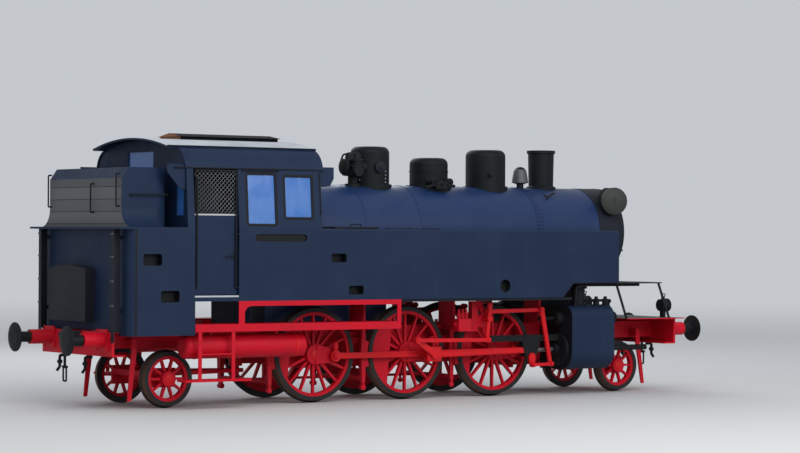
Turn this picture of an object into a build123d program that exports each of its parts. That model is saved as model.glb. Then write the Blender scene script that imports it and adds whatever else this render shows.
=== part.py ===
from build123d import *
import os
from math import acos, atan2, cos, hypot, pi, radians, sin, sqrt

# Side-tank steam locomotive with a carrying axle at each end and three driving axles.
# Millimetres. +X is the chimney end, +Z is up, and the right side of the engine is -Y.
# X = 0 is midway between the buffer faces, and Z = 0 is the lowest point of the wheel flanges.

# Overall sizes and the axles
rear_overhang = 1825        # buffer face to the trailing axle
front_overhang = 1675       # leading axle to the buffer face
trailing_to_driver = 2700
driver_radius = 750
wheel_gap = 300             # between the treads of two driving wheels
driver_pitch = 2 * driver_radius + wheel_gap
driver_to_leading = 2700
wheelbase = trailing_to_driver + 2 * driver_pitch + driver_to_leading
length_over_buffers = rear_overhang + wheelbase + front_overhang
x_trailing = -length_over_buffers / 2 + rear_overhang
x_rear_driver = x_trailing + trailing_to_driver
x_main_driver = x_rear_driver + driver_pitch
x_front_driver = x_main_driver + driver_pitch
x_leading = x_front_driver + driver_to_leading
driver_axles = [x_rear_driver, x_main_driver, x_front_driver]

# Wheels on the rail
flange_depth = 28
rail_top = flange_depth
wheel_back = 680            # centre line to the inner face of a wheel
wheel_face = 815            # centre line to the outer face of a tyre
carrying_radius = 425
tyre_thickness = 70
rim_thickness = 52
driver_axle_radius = 95
carrying_axle_radius = 75
z_driver = rail_top + driver_radius
z_carrying = rail_top + carrying_radius
running_gap = 0.3           # between an axle or pin and the bore that it turns in

# Cranks and rods
crank_radius = 330
crank_angle = -5            # of the right side from straight ahead; the left is a quarter turn on
crank_pin_radius = 48
rod_plane = 880             # centre line to the inner face of the coupling rods
rod_thickness = 64
crank_hub = 160
crank_boss = 108
main_rod_plane = 1045
main_rod_thickness = 80

# Frame
frame_inner = 450
frame_bar = 90
frame_outer = frame_inner + frame_bar
frame_top = z_driver + 435
frame_bottom = rail_top + 560
frame_end_bottom = rail_top + 900
beam_half_width = 1150
beam_thickness = 40
buffer_length = 650
buffer_spacing = 1750
buffer_height = rail_top + 1050
x_rear_beam = -length_over_buffers / 2 + buffer_length
x_front_beam = length_over_buffers / 2 - buffer_length

# Boiler line
boiler_radius = 760
boiler_axis = rail_top + 2750
boiler_top = boiler_axis + boiler_radius
x_cylinder = x_leading - 1050
x_smokebox = x_cylinder - 667
x_smokebox_front = x_cylinder + 1230
smokebox_wall = 24
smokebox_door_radius = 560

# Tanks and cab
body_half_width = 1500
body_bottom = z_driver + driver_radius + 140
tank_top = rail_top + 2771
tank_inner = boiler_radius + 35
belt_line = rail_top + 2777
eave_height = rail_top + 3745
cab_lean = 75               # how far each side wall leans in between the belt line and the eaves
eave_half_width = body_half_width - cab_lean
roof_joint_half_width = eave_half_width - 235
roof_joint_height = rail_top + 4030
roof_crown = rail_top + 4178
roof_plate = 30
x_cab_rear = x_trailing - 60
x_cab_front = x_trailing + 2385
cab_wall = 40
cab_floor_top = body_bottom + 60
x_tank_front = x_cylinder + 501
seat_gap = 0.3              # between pieces that rest against each other


def block(x0, x1, y0, y1, z0, z1, mode=Mode.ADD):
    """A square-edged plate or bar between two corners."""
    with Locations(((x0 + x1) / 2, (y0 + y1) / 2, (z0 + z1) / 2)):
        Box(abs(x1 - x0), abs(y1 - y0), abs(z1 - z0), mode=mode)


def side_plate(corners, y_inner, thickness, mode=Mode.ADD):
    """A plate on the right side that stands along the engine, from its corners as x and z."""
    with BuildSketch(Plane.XZ.offset(y_inner)) as outline:
        with BuildLine():
            Polyline(*corners, close=True)
        make_face()
    extrude(outline.sketch, amount=thickness, mode=mode)


def cross_plate(corners, x_rear, thickness, mode=Mode.ADD):
    """A plate that stands across the engine, from its corners as y and z."""
    with BuildSketch(Plane.YZ.offset(x_rear)) as outline:
        with BuildLine():
            Polyline(*corners, close=True)
        make_face()
    extrude(outline.sketch, amount=thickness, mode=mode)


def round_bar(x, y, z, radius, length, toward, mode=Mode.ADD):
    """A cylinder that starts at a point and runs along one axis."""
    with BuildSketch(Plane(origin=(x, y, z), z_dir=toward)) as section:
        Circle(radius)
    extrude(section.sketch, amount=length, mode=mode)


def side_view(side, y):
    """A plane along one side of the engine, with x ahead and y up; it faces the right side."""
    return Plane(origin=(0, side * y, 0), x_dir=(1, 0, 0), z_dir=(0, -1, 0))


def crowned_middle(half_width, edge, crown):
    """A point half way out on the arc that rises from an edge to a crown on the centre line."""
    rise = crown - edge
    radius = (half_width ** 2 + rise ** 2) / (2 * rise)
    return (half_width / 2, crown - radius + sqrt(radius ** 2 - (half_width / 2) ** 2))


def mirrored(name_part):
    """The left-hand copy of a right-hand piece."""
    with BuildPart() as copy:
        mirror(name_part.part, about=Plane.XZ)
    return copy


def crank_pin(x_axle, angle):
    """Where a crank pin's centre stands, as x and z."""
    return (x_axle + crank_radius * cos(radians(angle)), z_driver + crank_radius * sin(radians(angle)))


# Wheelsets: both wheels, their tyres and the axle between them
def wheel_disc(x, z, side, tread, spokes, hub, spoke_widths):
    """One wheel centre with its rim and spokes; side is -1 on the right and 1 on the left."""
    rim_outer = tread - tyre_thickness
    rim_inner = rim_outer - rim_thickness
    face = Plane(origin=(x, side * (wheel_back + 25), z), x_dir=(-side, 0, 0), z_dir=(0, side, 0))
    with BuildSketch(face) as rim:
        Circle(rim_outer)
        Circle(rim_inner, mode=Mode.SUBTRACT)
    extrude(rim.sketch, amount=90)
    hub_width, rim_width = spoke_widths
    with BuildSketch(face.offset(15)) as spoke_ring:
        with PolarLocations(0, spokes):
            Polygon((hub * 0.8, -hub_width / 2), (rim_inner + 12, -rim_width / 2),
                    (rim_inner + 12, rim_width / 2), (hub * 0.8, hub_width / 2), align=None)
    extrude(spoke_ring.sketch, amount=55)
    with BuildSketch(face.offset(-35)) as hub_face:
        Circle(hub)
    extrude(hub_face.sketch, amount=170)


def tyre_ring(x, z, side, tread):
    """A steel tyre with its flange on the inner side, turned about the axle."""
    bore = tread - tyre_thickness
    inner, outer = side * wheel_back, side * wheel_face
    with BuildSketch(Plane(origin=(x, 0, z), x_dir=(0, 1, 0), z_dir=(1, 0, 0))) as profile:
        with BuildLine():
            Polyline((inner, bore), (inner, tread + flange_depth - 6),
                     (inner + side * 8, tread + flange_depth),
                     (inner + side * 20, tread + flange_depth), (inner + side * 36, tread),
                     (outer, tread - 4), (outer, bore), close=True)
        make_face()
    revolve(profile.sketch, axis=Axis((x, 0, z), (0, 1, 0)))


def carrying_wheels(x):
    """The wheel centres and axle of a carrying axle."""
    with BuildPart() as wheels:
        for side in (-1, 1):
            wheel_disc(x, z_carrying, side, carrying_radius, 10, 118, (44, 32))
        round_bar(x, -wheel_back - 20, z_carrying, carrying_axle_radius, 2 * wheel_back + 40, (0, 1, 0))
    return wheels


def balance_weight(x, side, angle, chord):
    """A cast weight in the rim opposite the crank, with a straight inner edge at a distance from the axle."""
    rim_inner = driver_radius - tyre_thickness - rim_thickness
    half_chord = sqrt(rim_inner ** 2 - chord ** 2)
    away = radians(angle + 180)
    turned = Plane(origin=(x, side * (wheel_back + 20), z_driver), x_dir=(cos(away), 0, sin(away)),
                   z_dir=(0, -1, 0))
    with BuildSketch(turned) as crescent:
        with BuildLine():
            Line((chord, -half_chord), (chord, half_chord))
            ThreePointArc((chord, half_chord), (rim_inner + 6, 0), (chord, -half_chord))
        make_face()
    extrude(crescent.sketch, amount=-side * 95)


def driving_wheels(x, chord):
    """The wheel centres, cranks, weights and axle of a driving axle."""
    with BuildPart() as wheels:
        for side, angle in ((-1, crank_angle), (1, crank_angle + 90)):
            wheel_disc(x, z_driver, side, driver_radius, 16, 165, (50, 32))
            balance_weight(x, side, angle, chord)
            px, pz = crank_pin(x, angle)
            toward = radians(angle)
            web = Plane(origin=(x, side * (wheel_back + 30), z_driver), x_dir=(cos(toward), 0, sin(toward)),
                        z_dir=(0, -1, 0))
            with BuildSketch(web):
                with BuildLine():
                    Polyline((0, -crank_hub), (crank_radius, -crank_boss), (crank_radius, crank_boss),
                             (0, crank_hub), close=True)
                make_face()
                with Locations((crank_radius, 0)):
                    Circle(crank_boss)
            extrude(amount=-side * 145)
            round_bar(px, side * (wheel_back + 100), pz, crank_pin_radius,
                      rod_plane + rod_thickness + 26 - wheel_back - 100, (0, side, 0))
            round_bar(px, side * (rod_plane + rod_thickness + 6), pz, crank_pin_radius + 14, 20, (0, side, 0))
        round_bar(x, -wheel_back - 20, z_driver, driver_axle_radius, 2 * wheel_back + 40, (0, 1, 0))
    return wheels


def tyre_pair(x, z, tread):
    """The two tyres of one axle."""
    with BuildPart() as tyres:
        for side in (-1, 1):
            tyre_ring(x, z, side, tread)
    return tyres


wheels_trailing = carrying_wheels(x_trailing)
wheels_leading = carrying_wheels(x_leading)
wheels_rear_driver = driving_wheels(x_rear_driver, 470)
wheels_main_driver = driving_wheels(x_main_driver, 330)
wheels_front_driver = driving_wheels(x_front_driver, 470)
tyres_trailing = tyre_pair(x_trailing, z_carrying, carrying_radius)
tyres_leading = tyre_pair(x_leading, z_carrying, carrying_radius)
tyres_rear_driver = tyre_pair(x_rear_driver, z_driver, driver_radius)
tyres_main_driver = tyre_pair(x_main_driver, z_driver, driver_radius)
tyres_front_driver = tyre_pair(x_front_driver, z_driver, driver_radius)


# Coupling rods: one fluted bar with an eye at each driving axle
coupling_eye = 92
coupling_half_height = 46


def coupling_rod(side, angle):
    """The rod that joins the three crank pins of one side."""
    with BuildPart() as rod:
        rear = crank_pin(x_rear_driver, angle)
        front = crank_pin(x_front_driver, angle)
        with BuildSketch(side_view(side, rod_plane)):
            with Locations(((rear[0] + front[0]) / 2, rear[1])):
                Rectangle(front[0] - rear[0], 2 * coupling_half_height)
            for x in driver_axles:
                with Locations(crank_pin(x, angle)):
                    Circle(coupling_eye)
        extrude(amount=-side * rod_thickness)
        with BuildSketch(side_view(side, rod_plane + rod_thickness)):
            for x in driver_axles[:-1]:
                px, pz = crank_pin(x, angle)
                with Locations((px + driver_pitch / 2, pz)):
                    SlotOverall(driver_pitch - 2 * coupling_eye - 120, coupling_half_height)
        extrude(amount=side * 12, mode=Mode.SUBTRACT)
        for x in driver_axles:
            px, pz = crank_pin(x, angle)
            round_bar(px, side * (rod_plane - 5), pz, crank_pin_radius + running_gap, rod_thickness + 10,
                      (0, side, 0), mode=Mode.SUBTRACT)
            block(px - 22, px + 22, side * (rod_plane + 12), side * (rod_plane + 52),
                  pz + coupling_eye - 12, pz + coupling_eye + 46)
    return rod


coupling_rod_right = coupling_rod(-1, crank_angle)
coupling_rod_left = coupling_rod(1, crank_angle + 90)


# Main frame: two bars with horn openings, cross stays, pivot pins and guard irons
stretcher_places = [x_rear_driver - 1200, x_rear_driver - 500, x_main_driver + driver_pitch / 2,
                    x_front_driver + 1020]
axle_box = 150
guard_iron_y = 700
x_rear_pivot = x_rear_driver - 1000
x_front_pivot = x_front_driver + 950
pivot_radius = 60
truck_arm_bottom = z_carrying + 30
truck_arm_top = truck_arm_bottom + 60
with BuildPart() as main_frame:
    deep_from, deep_to = x_rear_driver - 600, x_cylinder + 620
    bar = [(x_rear_beam + beam_thickness, frame_end_bottom), (deep_from - 300, frame_end_bottom),
           (deep_from, frame_bottom), (deep_to, frame_bottom), (deep_to + 200, frame_end_bottom),
           (x_front_beam - beam_thickness, frame_end_bottom), (x_front_beam - beam_thickness, frame_top),
           (x_rear_beam + beam_thickness, frame_top)]
    side_plate(bar, frame_inner, frame_bar)
    side_plate([(x_rear_driver + 620, frame_top - 190), (x_rear_driver + 1180, frame_top - 190),
                (x_rear_driver + 1120, frame_top - 60), (x_rear_driver + 680, frame_top - 60)],
               frame_inner, frame_bar, mode=Mode.SUBTRACT)
    side_plate([(x_main_driver + 620, frame_top - 190), (x_main_driver + 1180, frame_top - 190),
                (x_main_driver + 1120, frame_top - 60), (x_main_driver + 680, frame_top - 60)],
               frame_inner, frame_bar, mode=Mode.SUBTRACT)
    for x in driver_axles:
        block(x - axle_box, x + axle_box, -frame_outer - 40, -frame_inner + 30, frame_bottom - 40,
              z_driver + 170)
        round_bar(x, -frame_outer - 60, z_driver, driver_axle_radius + running_gap, frame_bar + 150,
                  (0, 1, 0), mode=Mode.SUBTRACT)
    for x_foot, x_head in ((x_leading + 640, x_leading + 520), (x_trailing - 640, x_trailing - 560)):
        side_plate([(x_head - 45, frame_end_bottom + 150), (x_head + 45, frame_end_bottom + 150),
                    (x_head + 45, frame_end_bottom - 60), (x_foot + 30, rail_top + 90),
                    (x_foot - 30, rail_top + 90), (x_head - 45, frame_end_bottom - 60)], guard_iron_y, 30)
        block(x_head - 45, x_head + 45, -guard_iron_y, -frame_outer, frame_end_bottom + 30,
              frame_end_bottom + 150)
    for x in (x_rear_driver + driver_pitch / 2, x_main_driver + driver_pitch / 2, x_front_driver + 900):
        side_plate([(x - 20, frame_top), (x + 20, frame_top), (x + 20, body_bottom - seat_gap),
                    (x - 20, body_bottom - seat_gap)], frame_outer - 60, 420)
    mirror(about=Plane.XZ)
    for x in stretcher_places:
        block(x - 30, x + 30, -frame_inner, frame_inner, frame_bottom + 120, frame_top - 40)
    for x in (x_rear_pivot, x_front_pivot):
        block(x - 130, x + 130, -frame_inner, frame_inner, frame_end_bottom + 20, frame_end_bottom + 90)
        round_bar(x, 0, truck_arm_top + 40, pivot_radius + 50, frame_end_bottom + 30 - truck_arm_top - 40,
                  (0, 0, 1))
        round_bar(x, 0, truck_arm_bottom - 60, pivot_radius, 300, (0, 0, 1))
    for x in (x_trailing, x_leading):
        block(x - 200, x + 200, -frame_inner, frame_inner, frame_end_bottom + 60, frame_end_bottom + 120)


# Pony trucks: an axle carried in two arms that swing about a pin

def pony_truck(x_axle, x_pivot):
    """The swinging frame of a carrying axle."""
    ahead = 1 if x_pivot > x_axle else -1
    with BuildPart() as truck:
        for side in (-1, 1):
            block(x_axle - 230, x_axle + 230, side * 560, side * 620, z_carrying - 140, z_carrying + 160)
        block(x_axle - 230, x_axle - 170, -560, 560, z_carrying + 20, z_carrying + 110)
        block(x_axle + 170, x_axle + 230, -560, 560, z_carrying + 20, z_carrying + 110)
        with BuildSketch(Plane.XY.offset(truck_arm_bottom)):
            for side in (-1, 1):
                with BuildLine():
                    Polyline((x_axle + ahead * 180, side * 560), (x_axle + ahead * 180, side * 440),
                             (x_pivot - ahead * 40, side * 20), (x_pivot - ahead * 40, side * 110),
                             close=True)
                make_face()
            with Locations((x_pivot, 0)):
                Circle(pivot_radius + 70)
        extrude(amount=truck_arm_top - truck_arm_bottom)
        round_bar(x_pivot, 0, z_carrying, pivot_radius + running_gap, 300, (0, 0, 1), mode=Mode.SUBTRACT)
        round_bar(x_axle, -700, z_carrying, carrying_axle_radius + running_gap, 1400, (0, 1, 0),
                  mode=Mode.SUBTRACT)
    return truck


pony_truck_rear = pony_truck(x_trailing, x_rear_pivot)
pony_truck_front = pony_truck(x_leading, x_front_pivot)


# Buffer beams: a channel across each end, with its web outward
beam_bottom = rail_top + 800
beam_top = frame_top - 13
deck_height = frame_top + 60


with BuildPart() as buffer_beams:
    for outward, x_face, top in ((-1, x_rear_beam, beam_top), (1, x_front_beam, deck_height)):
        x_web = x_face - outward * beam_thickness
        block(x_web, x_face, -beam_half_width, beam_half_width, beam_bottom, top)
        for z in (beam_bottom, top - 25):
            block(x_web - outward * 200, x_web, -beam_half_width, beam_half_width, z, z + 25)
        block(x_web - outward * 200, x_web, -frame_outer - 20, frame_outer + 20,
              frame_end_bottom - 10, top, mode=Mode.SUBTRACT)

# Buffers: a housing on a base plate, a plunger and a domed head
buffer_head_radius = 230
buffer_flat_radius = 120
buffer_base = 330
with BuildPart() as buffers:
    for outward, x_face in ((-1, x_rear_beam), (1, x_front_beam)):
        for y in (-buffer_spacing / 2, buffer_spacing / 2):
            base = Plane(origin=(x_face + outward * seat_gap, y, buffer_height), z_dir=(outward, 0, 0))
            with BuildSketch(base):
                RectangleRounded(buffer_base, buffer_base, 40)
            extrude(amount=24)
            with BuildSketch(base.offset(20)):
                Circle(115)
            extrude(amount=350)
            with BuildSketch(base.offset(360)):
                Circle(84)
            extrude(amount=250)
            with BuildSketch(Plane(origin=(x_face, y, buffer_height), x_dir=(outward, 0, 0),
                                   z_dir=(0, -outward, 0))):
                with BuildLine():
                    rim = buffer_length - 22
                    Polyline((rim - 38, 0), (rim - 38, 90), (rim - 16, buffer_head_radius),
                             (rim, buffer_head_radius),
                             (buffer_length, buffer_flat_radius), (buffer_length, 0), close=True)
                make_face()
            revolve(axis=Axis((x_face, y, buffer_height), (1, 0, 0)))

# Drawgear: a hook and its guide plate at each end
with BuildPart() as draw_hooks:
    for outward, x_face in ((-1, x_rear_beam), (1, x_front_beam)):
        guide = x_face + outward * seat_gap
        block(guide, guide + outward * 22, -150, 150, buffer_height - 120, buffer_height + 120)
        with BuildSketch(Plane(origin=(x_face, -32, buffer_height), x_dir=(outward, 0, 0),
                               z_dir=(0, -outward, 0))):
            with BuildLine():
                Polyline((15, -55), (180, -55), (255, -30), (300, 30), (290, 100), (245, 130),
                         (225, 100), (240, 50), (205, 25), (170, 40), (15, 55), close=True)
            make_face()
        extrude(amount=-64 if outward > 0 else 64)

# Boiler with its firebox, and the ashpan between the frame bars
x_backhead = x_cab_front - 480
firebox_half_width = 430
with BuildPart() as boiler:
    round_bar(x_backhead, 0, boiler_axis, boiler_radius, x_smokebox - x_backhead, (1, 0, 0))
    fillet(boiler.faces().sort_by(Axis.X)[0].edges(), 60)
    block(x_backhead + 80, x_rear_driver + 1650, -firebox_half_width, firebox_half_width,
          frame_top + 60, boiler_axis)
    for x in (x_cab_front + 1342, x_cab_front + 2448):
        with BuildSketch(Plane.YZ.offset(x)):
            with Locations((0, boiler_axis)):
                Circle(boiler_radius + 5)
        extrude(amount=60)

with BuildPart() as ashpan:
    pan_rear, pan_front = x_rear_driver + 240, x_main_driver - 240
    with BuildSketch(Plane.XZ.offset(-firebox_half_width + 20)):
        with BuildLine():
            Polyline((pan_rear + 120, rail_top + 520), (pan_front - 120, rail_top + 520),
                     (pan_front, rail_top + 900),
                     (pan_front + 200, frame_top + 60 - seat_gap),
                     (pan_rear - 400, frame_top + 60 - seat_gap),
                     (pan_rear, rail_top + 900), close=True)
        make_face()
    extrude(amount=2 * firebox_half_width - 40)

# Smokebox: a riveted drum open at the door, with its saddle
smokebox_front_plate = 30
with BuildPart() as smokebox:
    round_bar(x_smokebox + seat_gap, 0, boiler_axis, boiler_radius, x_smokebox_front - x_smokebox, (1, 0, 0))
    front_edge = smokebox.faces().sort_by(Axis.X)[-1].edges()
    fillet(front_edge, 50)
    round_bar(x_smokebox + 40, 0, boiler_axis, boiler_radius - smokebox_wall,
              x_smokebox_front - smokebox_front_plate - x_smokebox - 40, (1, 0, 0), mode=Mode.SUBTRACT)
    round_bar(x_smokebox + 40, 0, boiler_axis, smokebox_door_radius - 40, x_smokebox_front - x_smokebox,
              (1, 0, 0), mode=Mode.SUBTRACT)

x_door_seat = x_smokebox_front + seat_gap
hinge_pin_y = -(smokebox_door_radius + 55)
hinge_pin_x = x_door_seat + 35
hinge_heights = [boiler_axis - 260, boiler_axis + 260]
hinge_radius, knuckle_half = 26, 45
with smokebox:
    for z in hinge_heights:
        block(x_smokebox_front - 10, hinge_pin_x + hinge_radius, hinge_pin_y - hinge_radius,
              hinge_pin_y + hinge_radius,
              z - knuckle_half - 30, z - knuckle_half - seat_gap)

saddle_half_width = 500
with BuildPart() as smokebox_saddle:
    cross_plate([(-frame_inner, frame_top + 20), (frame_inner, frame_top + 20),
                 (saddle_half_width, boiler_axis - 400),
                 (-saddle_half_width, boiler_axis - 400)], x_cylinder - 400, 800)
    round_bar(x_cylinder - 500, 0, boiler_axis, boiler_radius + seat_gap, 1000, (1, 0, 0), mode=Mode.SUBTRACT)
    block(x_cylinder - 400, x_cylinder + 400, -frame_outer, frame_outer, frame_top + seat_gap, frame_top + 40)

# Smokebox door: a dished plate on a vertical hinge at its right edge
door_dish = 170
with BuildPart() as smokebox_door:
    with BuildSketch(Plane(origin=(x_door_seat, 0, boiler_axis), x_dir=(0, 1, 0), z_dir=(0, 0, -1))):
        with BuildLine():
            half_out, swell = crowned_middle(smokebox_door_radius, 28, door_dish)
            Polyline((0, door_dish), (0, door_dish - 30), (smokebox_door_radius - 90, 0),
                     (smokebox_door_radius, 0), (smokebox_door_radius, 28))
            ThreePointArc((smokebox_door_radius, 28), (half_out, swell), (0, door_dish))
        make_face()
    revolve(axis=Axis((x_door_seat, 0, boiler_axis), (1, 0, 0)))
    for z in hinge_heights:
        block(hinge_pin_x - 15, hinge_pin_x + 15, hinge_pin_y, -250, z - 35, z + 35)
        round_bar(hinge_pin_x, hinge_pin_y, z - knuckle_half, hinge_radius, 2 * knuckle_half, (0, 0, 1))
    round_bar(x_door_seat + door_dish - 20, 0, boiler_axis, 60, 60, (1, 0, 0))
    block(x_door_seat + door_dish + 40, x_door_seat + door_dish + 62, -14, 210, boiler_axis - 14,
          boiler_axis + 14)

# Chimney, domes and bell along the boiler top
dome_table = [
    # name, x from the trailing axle, radius, top above the rail, base flare
    ("steam", 4295, 325, 4150, 40),
    ("feed", 5500, 325, 3985, 60),
    ("sand", 6700, 343, 4145, 40),
]


def dome(x, radius, top, flare):
    """A sheet casing on the boiler top with a rolled top edge."""
    with BuildPart() as casing:
        round_bar(x, 0, boiler_axis, radius, top - boiler_axis, (0, 0, 1))
        fillet(casing.faces().sort_by(Axis.Z)[-1].edges(), 110)
        with BuildSketch(Plane.XY.offset(boiler_axis)):
            with Locations((x, 0)):
                Circle(radius + flare)
        extrude(amount=boiler_radius + 12)
        round_bar(x - radius - 200, 0, boiler_axis, boiler_radius + seat_gap, 2 * radius + 400, (1, 0, 0),
                  mode=Mode.SUBTRACT)
    return casing


domes = {}
for dome_name, from_axle, radius, top, flare in dome_table:
    domes[dome_name] = dome(x_trailing + from_axle, radius, rail_top + top, flare)
steam_dome, feed_dome, sand_dome = domes["steam"], domes["feed"], domes["sand"]

chimney_radius = 215
chimney_top = rail_top + 4165
x_chimney = x_cylinder - 42
with BuildPart() as chimney:
    with BuildSketch(Plane(origin=(x_chimney, 0, 0), x_dir=(1, 0, 0), z_dir=(0, -1, 0))):
        with BuildLine():
            Polyline((140, boiler_axis + 400), (chimney_radius + 45, boiler_axis + 400),
                     (chimney_radius + 45, boiler_top + 14), (chimney_radius, boiler_top + 40),
                     (chimney_radius + 12, chimney_top - 60), (chimney_radius + 34, chimney_top - 50),
                     (chimney_radius + 34, chimney_top), (chimney_radius - 24, chimney_top),
                     (140, boiler_axis + 420), close=True)
        make_face()
    revolve(axis=Axis((x_chimney, 0, 0), (0, 0, 1)))
    round_bar(x_chimney - 400, 0, boiler_axis, boiler_radius + seat_gap, 800, (1, 0, 0), mode=Mode.SUBTRACT)

x_bell = x_cylinder - 500
with BuildPart() as bell:
    with BuildSketch(Plane(origin=(x_bell, 0, 0), x_dir=(1, 0, 0), z_dir=(0, -1, 0))):
        with BuildLine():
            shoulder, crown = boiler_top + 290, boiler_top + 365
            Polyline((0, boiler_axis + 600), (70, boiler_axis + 600), (60, boiler_top + 60),
                     (145, boiler_top + 90),
                     (128, boiler_top + 200), (110, shoulder))
            ThreePointArc((110, shoulder), crowned_middle(110, shoulder, crown), (0, crown))
            Line((0, crown), (0, boiler_axis + 600))
        make_face()
    revolve(axis=Axis((x_bell, 0, 0), (0, 0, 1)))
    round_bar(x_bell - 300, 0, boiler_axis, boiler_radius + seat_gap, 600, (1, 0, 0), mode=Mode.SUBTRACT)

# Turbo-generator: a drum on a bracket at the right of the smokebox
x_generator = x_cylinder + 910
generator_y, generator_z = 120 - boiler_radius, boiler_axis + boiler_radius - 220
with BuildPart() as turbo_generator:
    round_bar(x_generator, generator_y, generator_z, 235, 130, (1, 0, 0))
    round_bar(x_generator + 130, generator_y, generator_z, 120, 120, (1, 0, 0))
    block(x_generator + 20, x_generator + 110, generator_y - 60, generator_y + 90, generator_z - 330,
          generator_z)
    round_bar(x_generator - 100, 0, boiler_axis, boiler_radius + seat_gap, 600, (1, 0, 0), mode=Mode.SUBTRACT)

# Side tanks: long boxes with a stepped front end, step pockets and an oil hole
platform_top = boiler_axis - boiler_radius - 105
tank_corner = 36
pocket_table = [
    # x from the trailing axle and z above the rail of a pocket's middle
    (2705, 2308),
    (3035, 1795),
]


def pocket(x, z, width, height):
    """A foothold let into the right side, with rounded corners."""
    with BuildSketch(side_view(-1, body_half_width - 130)) as mouth:
        with Locations((x, z)):
            RectangleRounded(width, height, 35)
    extrude(mouth.sketch, amount=140, mode=Mode.SUBTRACT)


with BuildPart() as side_tanks:
    side_plate([(x_cab_front + seat_gap, body_bottom), (x_cylinder - 709, body_bottom),
                (x_cylinder - 487, platform_top + seat_gap), (x_tank_front, platform_top + seat_gap),
                (x_tank_front, tank_top), (x_cab_front + seat_gap, tank_top)], tank_inner,
                body_half_width - tank_inner)
    long_edges = side_tanks.edges().filter_by(Axis.X).group_by(Axis.Z)[-1].sort_by(Axis.Y)[0]
    fillet(long_edges, tank_corner)
    for from_axle, above_rail in pocket_table:
        x, z = x_trailing + from_axle, rail_top + above_rail
        pocket(x, z, 285, 140)
    round_bar(x_trailing + 6016, -body_half_width + 120, rail_top + 1843, 105, 200, (0, -1, 0),
              mode=Mode.SUBTRACT)
    mirror(about=Plane.XZ)

# Tank lids, hinged on their inner edge
lid_thickness = 26
lid_inner, lid_outer = tank_inner + 165, body_half_width - 130
lid_hinge_y, lid_hinge_z = lid_inner - 10, tank_top + 17
with BuildPart() as tank_lid_right:
    block(x_trailing + 2720, x_trailing + 3540, -lid_outer, -lid_inner, tank_top + seat_gap,
          tank_top + seat_gap + lid_thickness)
    fillet(tank_lid_right.edges().filter_by(Axis.Z), 40)
    for x in (2860, 3400):
        round_bar(x_trailing + x - 50, -lid_hinge_y, lid_hinge_z, 16, 100, (1, 0, 0))
tank_lid_left = mirrored(tank_lid_right)

# Cylinders with their steam chests, covers and tail rods
cylinder_z = z_driver
cylinder_y = main_rod_plane + main_rod_thickness / 2
cylinder_length = 920
chest_z = rail_top + 1275
casing_outer = cylinder_y + 345
x_spindle_head = x_cylinder - 900
with BuildPart() as cylinders:
    with BuildSketch(Plane.YZ.offset(x_cylinder - cylinder_length / 2)):
        with BuildLine():
            low, high = rail_top + 405, chest_z + 215
            Line((-casing_outer + 300, low), (-frame_outer - seat_gap, low))
            Line((-frame_outer - seat_gap, low), (-frame_outer - seat_gap, high))
            Line((-frame_outer - seat_gap, high), (-casing_outer + 190, high))
            ThreePointArc((-casing_outer + 190, high), (-casing_outer + 55, high - 55),
                          (-casing_outer, high - 190))
            Line((-casing_outer, high - 190), (-casing_outer, low + 300))
            ThreePointArc((-casing_outer, low + 300), (-casing_outer + 88, low + 88),
                          (-casing_outer + 300, low))
        make_face()
    extrude(amount=cylinder_length)
    round_bar(x_cylinder - cylinder_length / 2 - 70, -cylinder_y, cylinder_z, 270, cylinder_length + 140,
              (1, 0, 0))
    round_bar(x_cylinder - cylinder_length / 2 - 160, -cylinder_y, cylinder_z, 95, 200, (1, 0, 0))
    round_bar(x_cylinder, -cylinder_y, chest_z, 100, cylinder_length / 2 + 260, (1, 0, 0))
    round_bar(x_cylinder, -cylinder_y, chest_z, 120, cylinder_length / 2 + 130, (-1, 0, 0))
    round_bar(x_cylinder, -cylinder_y, cylinder_z, 48, 1440, (1, 0, 0))
    round_bar(x_spindle_head, -cylinder_y, chest_z, 30, x_cylinder - x_spindle_head, (1, 0, 0))
    block(x_spindle_head - 10, x_spindle_head + 70, -cylinder_y - 50, -cylinder_y + 30, chest_z - 42,
          chest_z + 42)
    mirror(about=Plane.XZ)

# Running gear: main rods, crossheads and valve gear, as they stand with the right crank at rest
crosshead_back = 1440       # crosshead at mid stroke to the middle of the cylinder
main_rod_length = x_cylinder - crosshead_back - x_main_driver
crosshead_half = 180
crosshead_inner, crosshead_width = main_rod_plane - 30, 125
gear_plane = main_rod_plane + main_rod_thickness + 16
slide_bar_z = cylinder_z + 148
x_cylinder_back = x_cylinder - cylinder_length / 2
return_throw, return_lead = 211, 108.7
link_pivot = (x_cylinder - 2032, rail_top + 1290)
link_foot_radius, link_top_radius, die_radius = 353, 225, 118
eccentric_rod_length = hypot(link_pivot[0] - x_main_driver, link_pivot[1] - link_foot_radius - z_driver)
radius_rod_length = x_cylinder - 925 - link_pivot[0]
lever_length = 935
union_length = 385


def tapered_rod(start, end, plane_y, thickness, widths, eyes):
    """A flat rod between two pins on the right side, with a round eye at each end."""
    run = hypot(end[0] - start[0], end[1] - start[1])
    turn = atan2(end[1] - start[1], end[0] - start[0])
    at = Plane(origin=(start[0], -plane_y, start[1]), x_dir=(cos(turn), 0, sin(turn)), z_dir=(0, -1, 0))
    with BuildSketch(at) as outline:
        with BuildLine():
            Polyline((0, -widths[0] / 2), (run, -widths[1] / 2), (run, widths[1] / 2), (0, widths[0] / 2),
                     close=True)
        make_face()
        Circle(eyes[0])
        with Locations((run, 0)):
            Circle(eyes[1])
    extrude(outline.sketch, amount=thickness)


def polar(centre, radius, angle):
    """The point at a distance and an angle in radians from a centre, as x and z."""
    return (centre[0] + radius * cos(angle), centre[1] + radius * sin(angle))


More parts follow.
